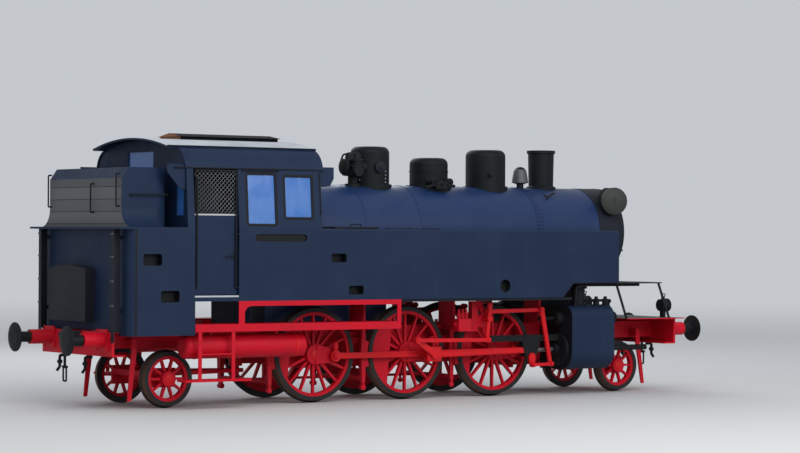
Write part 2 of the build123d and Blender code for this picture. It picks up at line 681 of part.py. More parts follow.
def meeting_point(first, first_reach, second, second_reach, turn):
    """Where a bar from one pin meets a bar from another; turn picks the side of the line between them."""
    span = hypot(second[0] - first[0], second[1] - first[1])
    lean = acos((span ** 2 + first_reach ** 2 - second_reach ** 2) / (2 * span * first_reach))
    return polar(first, first_reach, atan2(second[1] - first[1], second[0] - first[0]) + turn * lean)


def crosshead_place(angle):
    """How far ahead the crosshead stands for a crank angle."""
    pin = crank_pin(x_main_driver, angle)
    return pin[0] + sqrt(main_rod_length ** 2 - (pin[1] - cylinder_z) ** 2)


def running_gear(angle):
    """The main rod with its crosshead and piston rod, on the right side, for a crank angle."""
    pin = crank_pin(x_main_driver, angle)
    crosshead_x = crosshead_place(angle)
    with BuildPart() as rods:
        tapered_rod(pin, (crosshead_x, cylinder_z), main_rod_plane, main_rod_thickness, (120, 90), (118, 70))
        round_bar(pin[0], -main_rod_plane + 25, pin[1], crank_pin_radius,
                  gear_plane - seat_gap - main_rod_plane + 25,
                  (0, -1, 0))
        side_plate([(crosshead_x - crosshead_half, cylinder_z + 105),
                    (crosshead_x + crosshead_half, cylinder_z + 105),
                    (crosshead_x + 110, cylinder_z - 110), (crosshead_x - 110, cylinder_z - 110)],
                   crosshead_inner, crosshead_width)
        round_bar(crosshead_x, -cylinder_y, cylinder_z, 42, x_cylinder_back - 160 - crosshead_x, (1, 0, 0))
        block(crosshead_x - crosshead_half, crosshead_x + crosshead_half, -cylinder_y - 60, -cylinder_y + 60,
              cylinder_z + 95, slide_bar_z - seat_gap)
    return rods


def valve_gear(angle):
    """The return crank, eccentric rod, link, radius rod and combination lever of the right side."""
    pin = crank_pin(x_main_driver, angle)
    crosshead_x = crosshead_place(angle)
    tail = polar((x_main_driver, z_driver), return_throw, radians(angle + return_lead))
    link_foot = meeting_point(link_pivot, link_foot_radius, tail, eccentric_rod_length, 1)
    down_link = atan2(link_foot[1] - link_pivot[1], link_foot[0] - link_pivot[0])
    link_head = polar(link_pivot, link_top_radius, down_link + pi)
    die = polar(link_pivot, die_radius, down_link + pi)
    lever_top = (die[0] + radius_rod_length, link_pivot[1] + 135)
    arm_pin = (crosshead_x, cylinder_z - 250)
    lever_foot = meeting_point(lever_top, lever_length, arm_pin, union_length, 1)
    with BuildPart() as gear:
        tapered_rod(pin, tail, gear_plane, 44, (110, 80), (75, 58))
        tapered_rod(tail, link_foot, gear_plane + 52, 42, (62, 62), (58, 48))
        tapered_rod(link_foot, link_head, gear_plane + 5, 44, (70, 70), (48, 48))
        tapered_rod(die, lever_top, gear_plane - 41, 40, (66, 60), (50, 46))
        tapered_rod(lever_top, lever_foot, gear_plane + 5, 40, (80, 64), (50, 46))
        tapered_rod(lever_foot, arm_pin, gear_plane + 49, 34, (52, 52), (42, 42))
        tapered_rod((crosshead_x, cylinder_z - 110), arm_pin, crosshead_inner + crosshead_width + seat_gap,
                    40, (150, 84), (60, 42))
        round_bar(link_pivot[0], -plate_outer - seat_gap, link_pivot[1], 50, gear_plane + 75 - plate_outer,
                  (0, -1, 0))
        for x, z in (tail, link_foot, lever_foot, arm_pin):
            round_bar(x, -gear_plane - 10, z, 26, 96, (0, -1, 0))
        for x, z in (die, lever_top):
            round_bar(x, -gear_plane + 41, z, 28, 104, (0, -1, 0))
    return gear


bracket_plate = 40
plate_outer = main_rod_plane - 5
left_angle = crank_angle + 90
left_rods = running_gear(left_angle)
left_gear = valve_gear(left_angle)
with BuildPart() as main_rods:
    add(running_gear(crank_angle))
    mirror(left_rods.part, about=Plane.XZ)
with BuildPart() as valve_gears:
    add(valve_gear(crank_angle))
    mirror(left_gear.part, about=Plane.XZ)

# Motion brackets: the slide bar and the plates that carry the links
slide_bar_rear, slide_bar_depth = link_pivot[0] + 72, 105
x_plate = link_pivot[0] - 300
plate_width = 165
x_cross_stay, stay_half = x_main_driver + driver_pitch / 2 + 60, 36
lubricator_rear, lubricator_front = x_plate - 360, x_plate - 90
lubricator_y, lubricator_half = 1145, 95
shelf_z = rail_top + 1110
with BuildPart() as motion_brackets:
    block(slide_bar_rear, x_cylinder_back - 70 - seat_gap, -cylinder_y - 55, -cylinder_y + 55,
          slide_bar_z, slide_bar_z + slide_bar_depth)
    side_plate([(x_plate, rail_top + 1090), (x_plate + plate_width, rail_top + 1090),
                (x_plate + plate_width + 15, link_pivot[1] - 130), (link_pivot[0] - 45, link_pivot[1] - 150),
                (link_pivot[0] + 20, slide_bar_z + 20), (link_pivot[0] + 170, slide_bar_z + 20),
                (link_pivot[0] + 170, slide_bar_z + 90), (link_pivot[0] + 75, slide_bar_z + 150),
                (link_pivot[0] + 75, link_pivot[1] + 60), (x_plate + plate_width + 70, body_bottom - 60),
                (x_plate, body_bottom - 60)], plate_outer - bracket_plate, bracket_plate)
    side_plate([(x_plate + plate_width + 10, link_pivot[1] + 20), (link_pivot[0] - 50, link_pivot[1] + 75),
                (x_plate + plate_width + 10, link_pivot[1] + 215)], plate_outer - bracket_plate,
                bracket_plate,
               mode=Mode.SUBTRACT)
    block(x_plate, x_plate + 24, -plate_outer - 70, -plate_outer + 10, rail_top + 1090, body_bottom - 60)
    side_plate([(x_cross_stay - stay_half, frame_top + 10), (x_plate + 10, frame_top + 10),
                (x_plate + 10, frame_top + 100), (x_cross_stay - stay_half, frame_top + 100)],
               plate_outer - bracket_plate, bracket_plate)
    block(x_cross_stay - stay_half, x_cross_stay + stay_half, -plate_outer + 30, -frame_inner - 20,
          frame_top + seat_gap, frame_top + 100)
    mirror(about=Plane.XZ)
    block(lubricator_rear, x_plate + 10, -1250, -plate_outer + 30, shelf_z - 20, shelf_z)

# Lubricator on the right side alone: an oil box with its pumps and drive shaft
with BuildPart() as lubricator:
    block(lubricator_rear, lubricator_front, -lubricator_y - lubricator_half, -lubricator_y + lubricator_half,
          shelf_z + seat_gap, shelf_z + 185)
    fillet(lubricator.edges().filter_by(Axis.Z), 25)
    for x in (lubricator_rear + 60, (lubricator_rear + lubricator_front) / 2, lubricator_front - 60):
        round_bar(x, -lubricator_y, shelf_z + 180, 34, 110, (0, 0, 1))
        round_bar(x, -lubricator_y, shelf_z + 285, 22, 60, (0, 0, 1))
    round_bar(lubricator_rear - 40, -lubricator_y, shelf_z + 90, 26, lubricator_front - lubricator_rear + 80,
              (1, 0, 0))

# Running boards with their rails and the steps below the cab
board_top = frame_top + 100
board_bottom = board_top - 117
board_inner = frame_outer + 475
x_board_rear, x_board_front = x_trailing + 82, x_trailing + 3913
x_rail_post = x_trailing + 857
rail_depth, rear_post_width, front_post_width, gusset = 78, 105, 75, 120
step_outer, step_inner = body_half_width - 10, body_half_width - 280
step_posts = [x_trailing + 172, x_trailing + 766]
with BuildPart() as running_boards:
    block(x_board_rear, x_board_front, -body_half_width, -board_inner, board_top - 16, board_top)
    block(x_board_rear, x_board_front, -body_half_width, -body_half_width + 16, board_bottom, board_top)
    block(x_rail_post, x_board_front, -body_half_width, -body_half_width + 16, body_bottom - rail_depth,
          body_bottom - seat_gap)
    block(x_rail_post, x_board_front, -body_half_width, -body_half_width + 60, body_bottom - 16,
          body_bottom - seat_gap)
    block(x_rail_post, x_rail_post + rear_post_width, -body_half_width, -body_half_width + 16, board_top,
          body_bottom - 20)
    block(x_board_front - front_post_width, x_board_front, -body_half_width, -body_half_width + 16, board_top,
          body_bottom - 20)
    with BuildSketch(side_view(-1, body_half_width - 16)):
        corner_x, corner_z = x_rail_post + rear_post_width, body_bottom - rail_depth
        with BuildLine():
            Polyline((corner_x, corner_z - gusset), (corner_x - 5, corner_z + 5),
                     (corner_x + gusset, corner_z))
            ThreePointArc((corner_x + gusset, corner_z), (corner_x + gusset * 0.3, corner_z - gusset * 0.3),
                          (corner_x, corner_z - gusset))
        make_face()
    extrude(amount=16)
    for x in (x_trailing + 1400, x_rear_driver + driver_pitch / 2 + 60):
        block(x, x + 16, -body_half_width + 16, -frame_outer - seat_gap, board_top - 90, board_top - 16)
    for x in step_posts:
        block(x - 31, x + 31, -step_outer, -step_outer + 14, rail_top + 400, board_bottom + 20)
    block(step_posts[0] - 31, step_posts[1] + 31, -step_outer, -step_outer + 140, rail_top + 815,
          rail_top + 835)
    block(x_trailing - 82, x_trailing + 1096, -step_outer, -step_inner, rail_top + 400, rail_top + 435)
    mirror(about=Plane.XZ)

# Air reservoirs under the running boards
tank_radius = 188
reservoir_y, reservoir_z = body_half_width - 312, rail_top + 935
with BuildPart() as air_reservoirs:
    round_bar(x_trailing + 10, -reservoir_y, reservoir_z, tank_radius, 2215, (1, 0, 0))
    for end in (0, -1):
        fillet(air_reservoirs.faces().filter_by(GeomType.PLANE).sort_by(Axis.X)[end].edges(), 80)
    for x in (x_trailing + 500, x_trailing + 1700):
        block(x - 25, x + 25, -reservoir_y - 60, -reservoir_y + 60, reservoir_z, board_top - 16 - seat_gap)
    mirror(about=Plane.XZ)

# Cab
cab_profile = [(-body_half_width, body_bottom), (-body_half_width, belt_line),
               (-eave_half_width, eave_height)]
roof_rear, roof_front = x_cab_rear - 215, x_cab_front + 65
cheek_rear = x_cab_rear - 20
cheek_plate = 22
joint, joint_z = roof_joint_half_width + 10, roof_joint_height
cheek_top = (joint - 30, joint_z - 12)
cheek_bulge = (eave_half_width - 68, eave_height + 154)
far_out = body_half_width + 300
cheek_low = (eave_half_width + 16, eave_height - 60)


def roof_underside(drop):
    """The space from a little below the roof plates upward, which the walls leave free."""
    through = roof_front - roof_rear + 800
    above = roof_crown + 500
    edge, edge_z = joint - 10, joint_z - roof_plate - drop
    with BuildSketch(Plane.YZ.offset(roof_rear - 400)) as centre:
        with BuildLine():
            ThreePointArc((-edge, edge_z), (0, roof_crown - roof_plate - drop), (edge, edge_z))
            Polyline((edge, edge_z), (edge, above), (-edge, above), (-edge, edge_z))
        make_face()
    extrude(centre.sketch, amount=through, mode=Mode.SUBTRACT)
    with BuildSketch(Plane.YZ.offset(roof_rear - 400)) as cheeks:
        for side in (-1, 1):
            top = (side * (cheek_top[0] - 6), cheek_top[1] - cheek_plate - drop)
            bulge = (side * (cheek_bulge[0] - 16), cheek_bulge[1] - 16 - drop)
            low = (side * (cheek_low[0] - 14), cheek_low[1] - drop)
            with BuildLine():
                ThreePointArc(top, bulge, low)
                Polyline(low, (side * far_out, low[1] - 200), (side * far_out, above), (top[0], above), top)
            make_face()
    extrude(cheeks.sketch, amount=through, mode=Mode.SUBTRACT)


window_table = [
    # x from the trailing axle of each side, z above the rail of sill and head
    (1003, 1545, 2813, 3626),
    (1688, 2222, 2921, 3600),
]
door_rear, door_front = x_trailing + 63, x_trailing + 855
cut_inner = eave_half_width - cab_wall - 60      # window and door cuts run outward from here
recess_middle, recess_length, recess_height = (x_trailing + 1623, rail_top + 2622), 958, 112
with BuildPart() as cab_sides:
    cross_plate(cab_profile + [(-eave_half_width + cab_wall, eave_height),
                               (-body_half_width + cab_wall, belt_line),
                               (-body_half_width + cab_wall, body_bottom)], x_cab_rear,
                               x_cab_front - x_cab_rear)
    block(door_rear, door_front, -body_half_width - 10, -cut_inner, cab_floor_top, rail_top + 3690,
          mode=Mode.SUBTRACT)
    for x0, x1, sill, head in window_table:
        block(x_trailing + x0, x_trailing + x1, -body_half_width - 10, -cut_inner,
              rail_top + sill, rail_top + head, mode=Mode.SUBTRACT)
    with BuildSketch(side_view(-1, body_half_width - 26)) as recess:
        with Locations(recess_middle):
            SlotOverall(recess_length, recess_height)
    extrude(recess.sketch, amount=40, mode=Mode.SUBTRACT)
    side_plate([(x_cab_rear - 330, eave_height), (x_cab_rear - 312, eave_height - 130),
                (x_cab_rear - 90, eave_height - 380), (x_cab_rear, eave_height - 395),
                (x_cab_rear, eave_height)], eave_half_width - cab_wall, 20)
    side_plate([(x_cab_front, eave_height), (x_cab_front + 270, eave_height),
                (x_cab_front + 270, eave_height - 180),
                (x_cab_front + 200, eave_height - 300), (x_cab_front, eave_height - 320)],
               eave_half_width - cab_wall, 20)
    roof_underside(seat_gap)
    mirror(about=Plane.XZ)

# Cab end walls and floor
inner_profile = [(-body_half_width + cab_wall, body_bottom), (body_half_width - cab_wall, body_bottom),
                 (body_half_width - cab_wall, belt_line), (eave_half_width - cab_wall, eave_height),
                 (eave_half_width - cab_wall, roof_crown), (-eave_half_width + cab_wall, roof_crown),
                 (-eave_half_width + cab_wall, eave_height), (-body_half_width + cab_wall, belt_line)]
# windows in the end walls as inner edge, outer edge, sill and head
front_window = (eave_half_width - 545, eave_half_width - 125, rail_top + 3000, rail_top + 3560)
rear_windows = [
    (-400, 400, rail_top + 3200, rail_top + 3960),
    (eave_half_width - 295, eave_half_width - 70, rail_top + 2960, rail_top + 3600),
    (70 - eave_half_width, 295 - eave_half_width, rail_top + 2960, rail_top + 3600),
]
with BuildPart() as cab_front:
    cross_plate(inner_profile, x_cab_front - cab_wall, cab_wall)
    round_bar(x_cab_front - 100, 0, boiler_axis, boiler_radius + seat_gap, 200, (1, 0, 0), mode=Mode.SUBTRACT)
    block(x_cab_front - 100, x_cab_front + 10, -firebox_half_width - seat_gap, firebox_half_width + seat_gap,
          body_bottom - 10, boiler_axis, mode=Mode.SUBTRACT)
    for side in (-1, 1):
        y_inner, y_outer, sill, head = front_window
        block(x_cab_front - 100, x_cab_front + 10, side * y_inner, side * y_outer, sill, head,
              mode=Mode.SUBTRACT)
    roof_underside(seat_gap)

with BuildPart() as cab_rear:
    cross_plate(inner_profile, x_cab_rear, cab_wall)
    for y_inner, y_outer, sill, head in rear_windows:
        block(x_cab_rear - 10, x_cab_rear + 100, y_inner, y_outer, sill, head, mode=Mode.SUBTRACT)
    roof_underside(seat_gap)

with BuildPart() as cab_floor:
    block(x_cab_rear + cab_wall + seat_gap, x_cab_front - cab_wall - seat_gap,
          -body_half_width + cab_wall + seat_gap,
          body_half_width - cab_wall - seat_gap, cab_floor_top - 50, cab_floor_top)
    block(x_backhead - 20, x_cab_front, -firebox_half_width - 10, firebox_half_width + 10, cab_floor_top - 60,
          cab_floor_top + 10, mode=Mode.SUBTRACT)
    for x in (x_trailing + 300, x_trailing + 1600):
        block(x - 40, x + 40, -frame_outer, frame_outer, frame_top + seat_gap, cab_floor_top - 40)

# Cab roof: a crowned centre between two turned-down cheeks
with BuildPart() as cab_roof:
    with BuildSketch(Plane.YZ.offset(roof_rear)):
        with BuildLine():
            ThreePointArc((-joint, joint_z), (0, roof_crown), (joint, joint_z))
            Line((joint, joint_z), (joint - 10, joint_z - roof_plate))
            ThreePointArc((joint - 10, joint_z - roof_plate), (0, roof_crown - roof_plate),
                          (-joint + 10, joint_z - roof_plate))
            Line((-joint + 10, joint_z - roof_plate), (-joint, joint_z))
        make_face()
    extrude(amount=roof_front - roof_rear)
    for side in (-1, 1):
        with BuildSketch(Plane.YZ.offset(cheek_rear)):
            top, low = (side * cheek_top[0], cheek_top[1]), (side * cheek_low[0], cheek_low[1])
            bulge = (side * cheek_bulge[0], cheek_bulge[1])
            under = (side * (cheek_top[0] - 6), cheek_top[1] - cheek_plate)
            with BuildLine():
                ThreePointArc(top, bulge, low)
                Line(low, (low[0] - side * 14, low[1]))
                ThreePointArc((low[0] - side * 14, low[1]), (bulge[0] - side * 16, bulge[1] - 16), under)
                Line(under, top)
            make_face()
        extrude(amount=roof_front - 20 - cheek_rear)

# Roof ventilator: a low gabled box along the crown
vent_half_width = 320
with BuildPart() as roof_ventilator:
    cross_plate([(-vent_half_width, rail_top + 4080), (vent_half_width, rail_top + 4080),
                 (vent_half_width, rail_top + 4215), (0, rail_top + 4270),
                 (-vent_half_width, rail_top + 4215)],
                x_trailing + 470, 1810)
    with BuildSketch(Plane.YZ.offset(roof_rear)):
        with BuildLine():
            ThreePointArc((-joint, joint_z + seat_gap), (0, roof_crown + seat_gap),
                          (joint, joint_z + seat_gap))
            Polyline((joint, joint_z + seat_gap), (joint, eave_height), (-joint, eave_height),
                     (-joint, joint_z + seat_gap))
        make_face()
    extrude(amount=roof_front - roof_rear, mode=Mode.SUBTRACT)
    cross_plate([(-vent_half_width - 50, rail_top + 4215), (vent_half_width + 50, rail_top + 4215),
                 (0, rail_top + 4272), ], x_trailing + 440, 1880)

# Cab window panes
pane = 8
with BuildPart() as cab_glass:
    lean = (body_half_width - eave_half_width) / (eave_height - belt_line)
    for x0, x1, sill, head in window_table:
        z0, z1 = rail_top + sill + seat_gap, rail_top + head - seat_gap
        y0 = -body_half_width + lean * (z0 - belt_line) + 16
        y1 = -body_half_width + lean * (z1 - belt_line) + 16
        cross_plate([(y0, z0), (y0 + pane, z0), (y1 + pane, z1), (y1, z1)], x_trailing + x0 + seat_gap,
                    x1 - x0 - 2 * seat_gap)
    y_inner, y_outer, sill, head = front_window
    block(x_cab_front - 24, x_cab_front - 16, -y_outer + seat_gap, -y_inner - seat_gap, sill + seat_gap,
          head - seat_gap)
    mirror(about=Plane.XZ)
    for y_inner, y_outer, sill, head in rear_windows:
        block(x_cab_rear + 16, x_cab_rear + 24, y_inner + seat_gap, y_outer - seat_gap, sill + seat_gap,
              head - seat_gap)

# Cab doors: low doors that swing inward about their rear edge
door_leaf = 28
door_plane = body_half_width - cab_wall - 8 - door_leaf
door_bottom, door_top = cab_floor_top + 40, rail_top + 2960
door_hinge_x = door_rear + 22
door_pin_radius = 14
with BuildPart() as cab_door_right:
    block(door_hinge_x, door_front - 8, -door_plane - door_leaf, -door_plane, door_bottom, door_top)
    fillet(cab_door_right.edges().filter_by(Axis.Y).group_by(Axis.Z)[-1], 40)
    block(door_hinge_x, door_front - 8, -door_plane - 12, -door_plane + 12, door_bottom + 250,
          door_bottom + 310)
    round_bar(door_hinge_x, -door_plane, cab_floor_top + seat_gap, door_pin_radius,
              door_top - cab_floor_top - 90,
              (0, 0, 1))
cab_door_left = mirrored(cab_door_right)

# Bunker: the water space below, a shelf, and the open coal space above
bunker_rear = x_trailing - 1055
bunker_bottom = rail_top + 1122
shelf_height = rail_top + 2745
bunker_pockets = [
    # x from the trailing axle and z above the rail of a pocket's middle
    (-675, 2280),
    (-366, 1720),
]
with BuildPart() as bunker_lower:
    block(bunker_rear, x_cab_rear - seat_gap, -body_half_width, 0, bunker_bottom, shelf_height)
    fillet(bunker_lower.edges().filter_by(Axis.Z).group_by(Axis.X)[0].sort_by(Axis.Y)[0], 130)
    block(x_cab_rear - 10, door_rear + 10, -body_half_width, 0, bunker_bottom, body_bottom - seat_gap)
    block(bunker_rear - 180, x_cab_rear - seat_gap, -body_half_width, 0, shelf_height, belt_line)
    for from_axle, above_rail in bunker_pockets:
        pocket(x_trailing + from_axle, rail_top + above_rail, 325, 177)
    mirror(about=Plane.XZ)
    block(x_trailing - 1500, x_trailing + 900, -frame_outer - 20, frame_outer + 20, bunker_bottom - 10,
          frame_top + seat_gap, mode=Mode.SUBTRACT)
    block(x_trailing - 1500, x_rear_beam + beam_thickness + 200 + seat_gap, -beam_half_width - seat_gap,
          beam_half_width + seat_gap, bunker_bottom - 10, beam_top + seat_gap, mode=Mode.SUBTRACT)

coal_wall = 20
coal_half_width = body_half_width - 320
coal_top = rail_top + 3690
coal_rear = x_trailing - 1045
coal_front = x_cab_rear - 120
skirt_radius = 290
with BuildPart() as bunker_upper:
    with BuildSketch(Plane.XY.offset(belt_line + seat_gap)):
        with Locations(((coal_rear + coal_front) / 2, 0)):
            Rectangle(coal_front - coal_rear, 2 * coal_half_width)
    extrude(amount=coal_top - belt_line - seat_gap)
    fillet(bunker_upper.edges().filter_by(Axis.Z).group_by(Axis.X)[-1], 260)
    side_plate([(coal_rear - 1, coal_top + 1), (coal_rear + 120, coal_top + 1),
                (coal_rear - 1, coal_top - 170)],
               -coal_half_width - 5, 2 * coal_half_width + 10, mode=Mode.SUBTRACT)
    offset(amount=-coal_wall, openings=bunker_upper.faces().sort_by(Axis.Z)[-1])
    for side in (-1, 1):
        with BuildSketch(Plane.YZ.offset(coal_rear)):
            with BuildLine():
                skirt = side * coal_half_width
                foot = side * (coal_half_width + skirt_radius)
                bend = side * skirt_radius * (1 - cos(radians(45)))
                Line((skirt, belt_line + seat_gap + skirt_radius), (skirt, belt_line + seat_gap))
                Line((skirt, belt_line + seat_gap), (foot, belt_line + seat_gap))
                ThreePointArc((foot, belt_line + seat_gap), (skirt + bend, belt_line + seat_gap + abs(bend)),
                              (skirt, belt_line + seat_gap + skirt_radius))
            make_face()
        extrude(amount=coal_front - 260 - coal_rear)

# Rear of the bunker: two flanged uprights and a tool locker
x_upright = bunker_rear - 150
upright_y = (buffer_spacing + buffer_base) / 2 + 160
locker_right, locker_left = -370, 850
locker_bottom, locker_top = rail_top + 1315, rail_top + 2130
with BuildPart() as bunker_fittings:
    for y in (-upright_y, upright_y):
        block(x_upright, x_upright + 14, y - 45, y + 45, rail_top + 1020, shelf_height - seat_gap)
        block(x_upright, bunker_rear - 25, y - 8, y + 8, beam_top + seat_gap, shelf_height - seat_gap)
        for z in (beam_top + 300, shelf_height - 160):
            block(bunker_rear - 80, bunker_rear - seat_gap, y - 8, y + 8, z, z + 60)
    with BuildSketch(Plane.YZ.offset(bunker_rear - 170)) as locker:
        with BuildLine():
            middle, rise = (locker_right + locker_left) / 2, 55
            Polyline((locker_left, locker_top), (locker_left, locker_bottom), (locker_right, locker_bottom),
                     (locker_right, locker_top))
            ThreePointArc((locker_right, locker_top), (middle, locker_top + rise), (locker_left, locker_top))
        make_face()
    extrude(locker.sketch, amount=170 - seat_gap)

# Front platform, its struts and the deck over the buffer beam
strut_table = [
    # x of the strut's head and foot, from the cylinder
    (506, 746),
    (1450, 1705),
]
strut_width, strut_y = 44, body_half_width - 120
with BuildPart() as front_platform:
    block(x_cylinder - 487, x_cylinder + 1503, 50 - body_half_width, body_half_width - 50, platform_top - 20,
          platform_top)
    block(x_cylinder - 420, x_cylinder + 420, -530, 530, platform_top - 30, platform_top + 10,
          mode=Mode.SUBTRACT)
    block(x_cylinder + cylinder_length / 2 + 325, x_front_beam, 100 - body_half_width, body_half_width - 100,
          deck_height + seat_gap, deck_height + 16)
    for y in (-strut_y, strut_y + 16):
        for head, foot in strut_table:
            side_plate([(x_cylinder + head, platform_top - 10),
                        (x_cylinder + head + strut_width, platform_top - 10),
                        (x_cylinder + foot + strut_width, deck_height + 8),
                        (x_cylinder + foot, deck_height + 8)],
                       -y, 16)

# Lamps on the front deck and the rear shelf
lamp_radius = 105
lamp_x, lamp_y, lamp_z = x_front_beam - 320, 1100, deck_height + 230
with BuildPart() as lamps:
    for y in (-lamp_y, lamp_y):
        round_bar(lamp_x, y, lamp_z, lamp_radius, 150, (1, 0, 0))
        round_bar(lamp_x + 150, y, lamp_z, lamp_radius + 12, 22, (1, 0, 0))
        round_bar(lamp_x + 75, y, lamp_z + lamp_radius - 20, 34, 70, (0, 0, 1))
        block(lamp_x + 40, lamp_x + 100, y - 45, y + 45, deck_height + 16 + seat_gap, lamp_z)

# Brake gear: hangers and shoes behind each driving wheel, with beams and pull rods from beam to beam
shoe_gap = 10
hanger_y = 735
beam_z = rail_top + 330
hanger_foot = rail_top + 190
with BuildPart() as brake_rigging:
    for x in driver_axles:
        for side in (-1, 1):
            with BuildSketch(Plane(origin=(x, side * hanger_y, z_driver), x_dir=(1, 0, 0), z_dir=(0, -1, 0))):
                with BuildLine():
                    inner, outer = driver_radius + flange_depth + shoe_gap - 18, driver_radius + 80
                    first, last = radians(166), radians(196)
                    middle = (first + last) / 2
                    a = (inner * cos(first), inner * sin(first))
                    b = (inner * cos(last), inner * sin(last))
                    c = (outer * cos(last), outer * sin(last))
                    d = (outer * cos(first), outer * sin(first))
                    ThreePointArc(a, (inner * cos(middle), inner * sin(middle)), b)
                    Line(b, c)
                    ThreePointArc(c, (outer * cos(middle), outer * sin(middle)), d)
                    Line(d, a)
                make_face()
            extrude(amount=-70 if side > 0 else 70)
        hanger_x = x - driver_radius - 95
        for side in (-1, 1):
            with BuildSketch(side_view(side, hanger_y)) as hanger:
                with BuildLine():
                    Polyline((hanger_x - 30, frame_top - 40), (hanger_x - 52, z_driver + 60),
                             (hanger_x - 30, beam_z - 60), (hanger_x + 30, beam_z - 60),
                             (hanger_x + 44, z_driver + 60), (hanger_x + 30, frame_top - 40), close=True)
                make_face()
                with Locations((hanger_x, hanger_foot)):
                    Circle(42)
                with Locations((hanger_x, (hanger_foot + beam_z) / 2)):
                    Rectangle(34, beam_z - hanger_foot)
            extrude(hanger.sketch, amount=-side * 34)
            block(hanger_x - 30, hanger_x + 30, side * (frame_outer + seat_gap), side * (hanger_y + 34),
                  frame_top - 90, frame_top - 40)
        block(hanger_x - 28, hanger_x + 28, -hanger_y - 20, hanger_y + 20, beam_z - 28, beam_z + 28)
    beam_places = [x - driver_radius - 95 for x in driver_axles]
    rod_starts = [beam_places[0] - 55] + [x + 28 + seat_gap for x in beam_places]
    rod_ends = [x - 28 - seat_gap for x in beam_places] + [beam_places[-1] + 45]
    for rod_start, rod_end in zip(rod_starts, rod_ends):
        block(rod_start, rod_end, -28, 28, beam_z - 20, beam_z + 20)

pieces = {
    "main_frame": main_frame,
    "buffer_beams": buffer_beams,
    "buffers": buffers,
    "draw_hooks": draw_hooks,
    "boiler": boiler,
    "ashpan": ashpan,
    "smokebox": smokebox,
    "smokebox_saddle": smokebox_saddle,
    "smokebox_door": smokebox_door,
    "chimney": chimney,
    "steam_dome": steam_dome,
    "feed_dome": feed_dome,
    "sand_dome": sand_dome,
    "bell": bell,
    "turbo_generator": turbo_generator,
    "side_tanks": side_tanks,
    "tank_lid_right": tank_lid_right,
    "tank_lid_left": tank_lid_left,
    "cab_floor": cab_floor,
    "cab_sides": cab_sides,
    "cab_front": cab_front,
    "cab_rear": cab_rear,
    "cab_roof": cab_roof,
    "roof_ventilator": roof_ventilator,
    "cab_glass": cab_glass,
    "cab_door_right": cab_door_right,
    "cab_door_left": cab_door_left,
    "bunker_lower": bunker_lower,
    "bunker_upper": bunker_upper,
    "bunker_fittings": bunker_fittings,
    "cylinders": cylinders,
    "main_rods": main_rods,
    "valve_gears": valve_gears,
    "motion_brackets": motion_brackets,
    "running_boards": running_boards,
    "air_reservoirs": air_reservoirs,
    "brake_rigging": brake_rigging,
    "front_platform": front_platform,
    "lamps": lamps,
    "lubricator": lubricator,
    "pony_truck_front": pony_truck_front,
    "pony_truck_rear": pony_truck_rear,
    "coupling_rod_right": coupling_rod_right,
    "coupling_rod_left": coupling_rod_left,
    "wheels_trailing": wheels_trailing,
    "wheels_rear_driver": wheels_rear_driver,
    "wheels_main_driver": wheels_main_driver,
    "wheels_front_driver": wheels_front_driver,
    "wheels_leading": wheels_leading,
}
tyre_sets = {
    "tyres_trailing": tyres_trailing,
    "tyres_rear_driver": tyres_rear_driver,
    "tyres_main_driver": tyres_main_driver,
    "tyres_front_driver": tyres_front_driver,
    "tyres_leading": tyres_leading,
}
pieces.update(tyre_sets)
os.makedirs("parts", exist_ok=True)
for piece_name, piece in pieces.items():
    piece.part.label = piece_name
    export_step(piece.part, f"parts/{piece_name}.step")
print(len(pieces), "pieces")
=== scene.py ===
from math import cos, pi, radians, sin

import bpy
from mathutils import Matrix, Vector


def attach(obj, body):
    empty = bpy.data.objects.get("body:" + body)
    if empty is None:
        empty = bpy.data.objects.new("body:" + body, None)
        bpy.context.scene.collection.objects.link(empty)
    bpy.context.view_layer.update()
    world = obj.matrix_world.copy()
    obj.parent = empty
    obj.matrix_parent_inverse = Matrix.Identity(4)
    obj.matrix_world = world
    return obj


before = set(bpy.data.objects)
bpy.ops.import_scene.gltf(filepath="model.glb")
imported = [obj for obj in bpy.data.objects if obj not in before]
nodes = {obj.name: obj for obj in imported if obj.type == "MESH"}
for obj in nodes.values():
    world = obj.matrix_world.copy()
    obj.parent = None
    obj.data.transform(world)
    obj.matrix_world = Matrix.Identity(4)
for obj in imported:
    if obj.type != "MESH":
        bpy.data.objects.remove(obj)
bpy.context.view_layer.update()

# %% [markdown]
# A steam locomotive is painted iron and steel in a few finishes: blue-black sheet on the cab and
# tanks, a bluer paint on the boiler, bright red on the wheels, frame and rods, and black on what gets
# oily or hot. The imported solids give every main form. This script gives them their paint and adds
# what is too small to be a solid of its own: hand rails, rivets, pipes, cocks and seams.

# %% [markdown]
# Places are in metres: x runs forwards, y to the left and z up from the wheels' lowest point. Wheels,
# rods and cylinders share some of them, so these were measured on the solids and are named here once.

# %% The engine's main places
driver_height, carrier_height = 0.778, 0.453
axle_places = {"rear_driving_axle": (-1.725, driver_height), "main_driving_axle": (0.075, driver_height),
               "front_driving_axle": (1.875, driver_height), "trailing_axle": (-4.425, carrier_height),
               "leading_axle": (4.575, carrier_height)}
cylinder_y = 1.085
boiler_axis, boiler_radius = 2.778, 0.760
steam_dome_x, feed_dome_x, sand_dome_x = -0.13, 1.075, 2.275
tank_top = 2.799
beam_face = 5.60
side_names = ((-1, "right"), (1, "left"))
forwards, rearwards, leftwards, upwards, downwards = (1, 0, 0), (-1, 0, 0), (0, 1, 0), (0, 0, 1), (0, 0, -1)
print(len(axle_places), "axles")

# %% [markdown]
# The camera stands level with the tank tops, far out on the right-hand side and behind the cab, so
# that the running gear is seen from outside. Its place and turn are written as real values, and a
# long lens keeps the engine's lines nearly parallel, as they are on the photo.

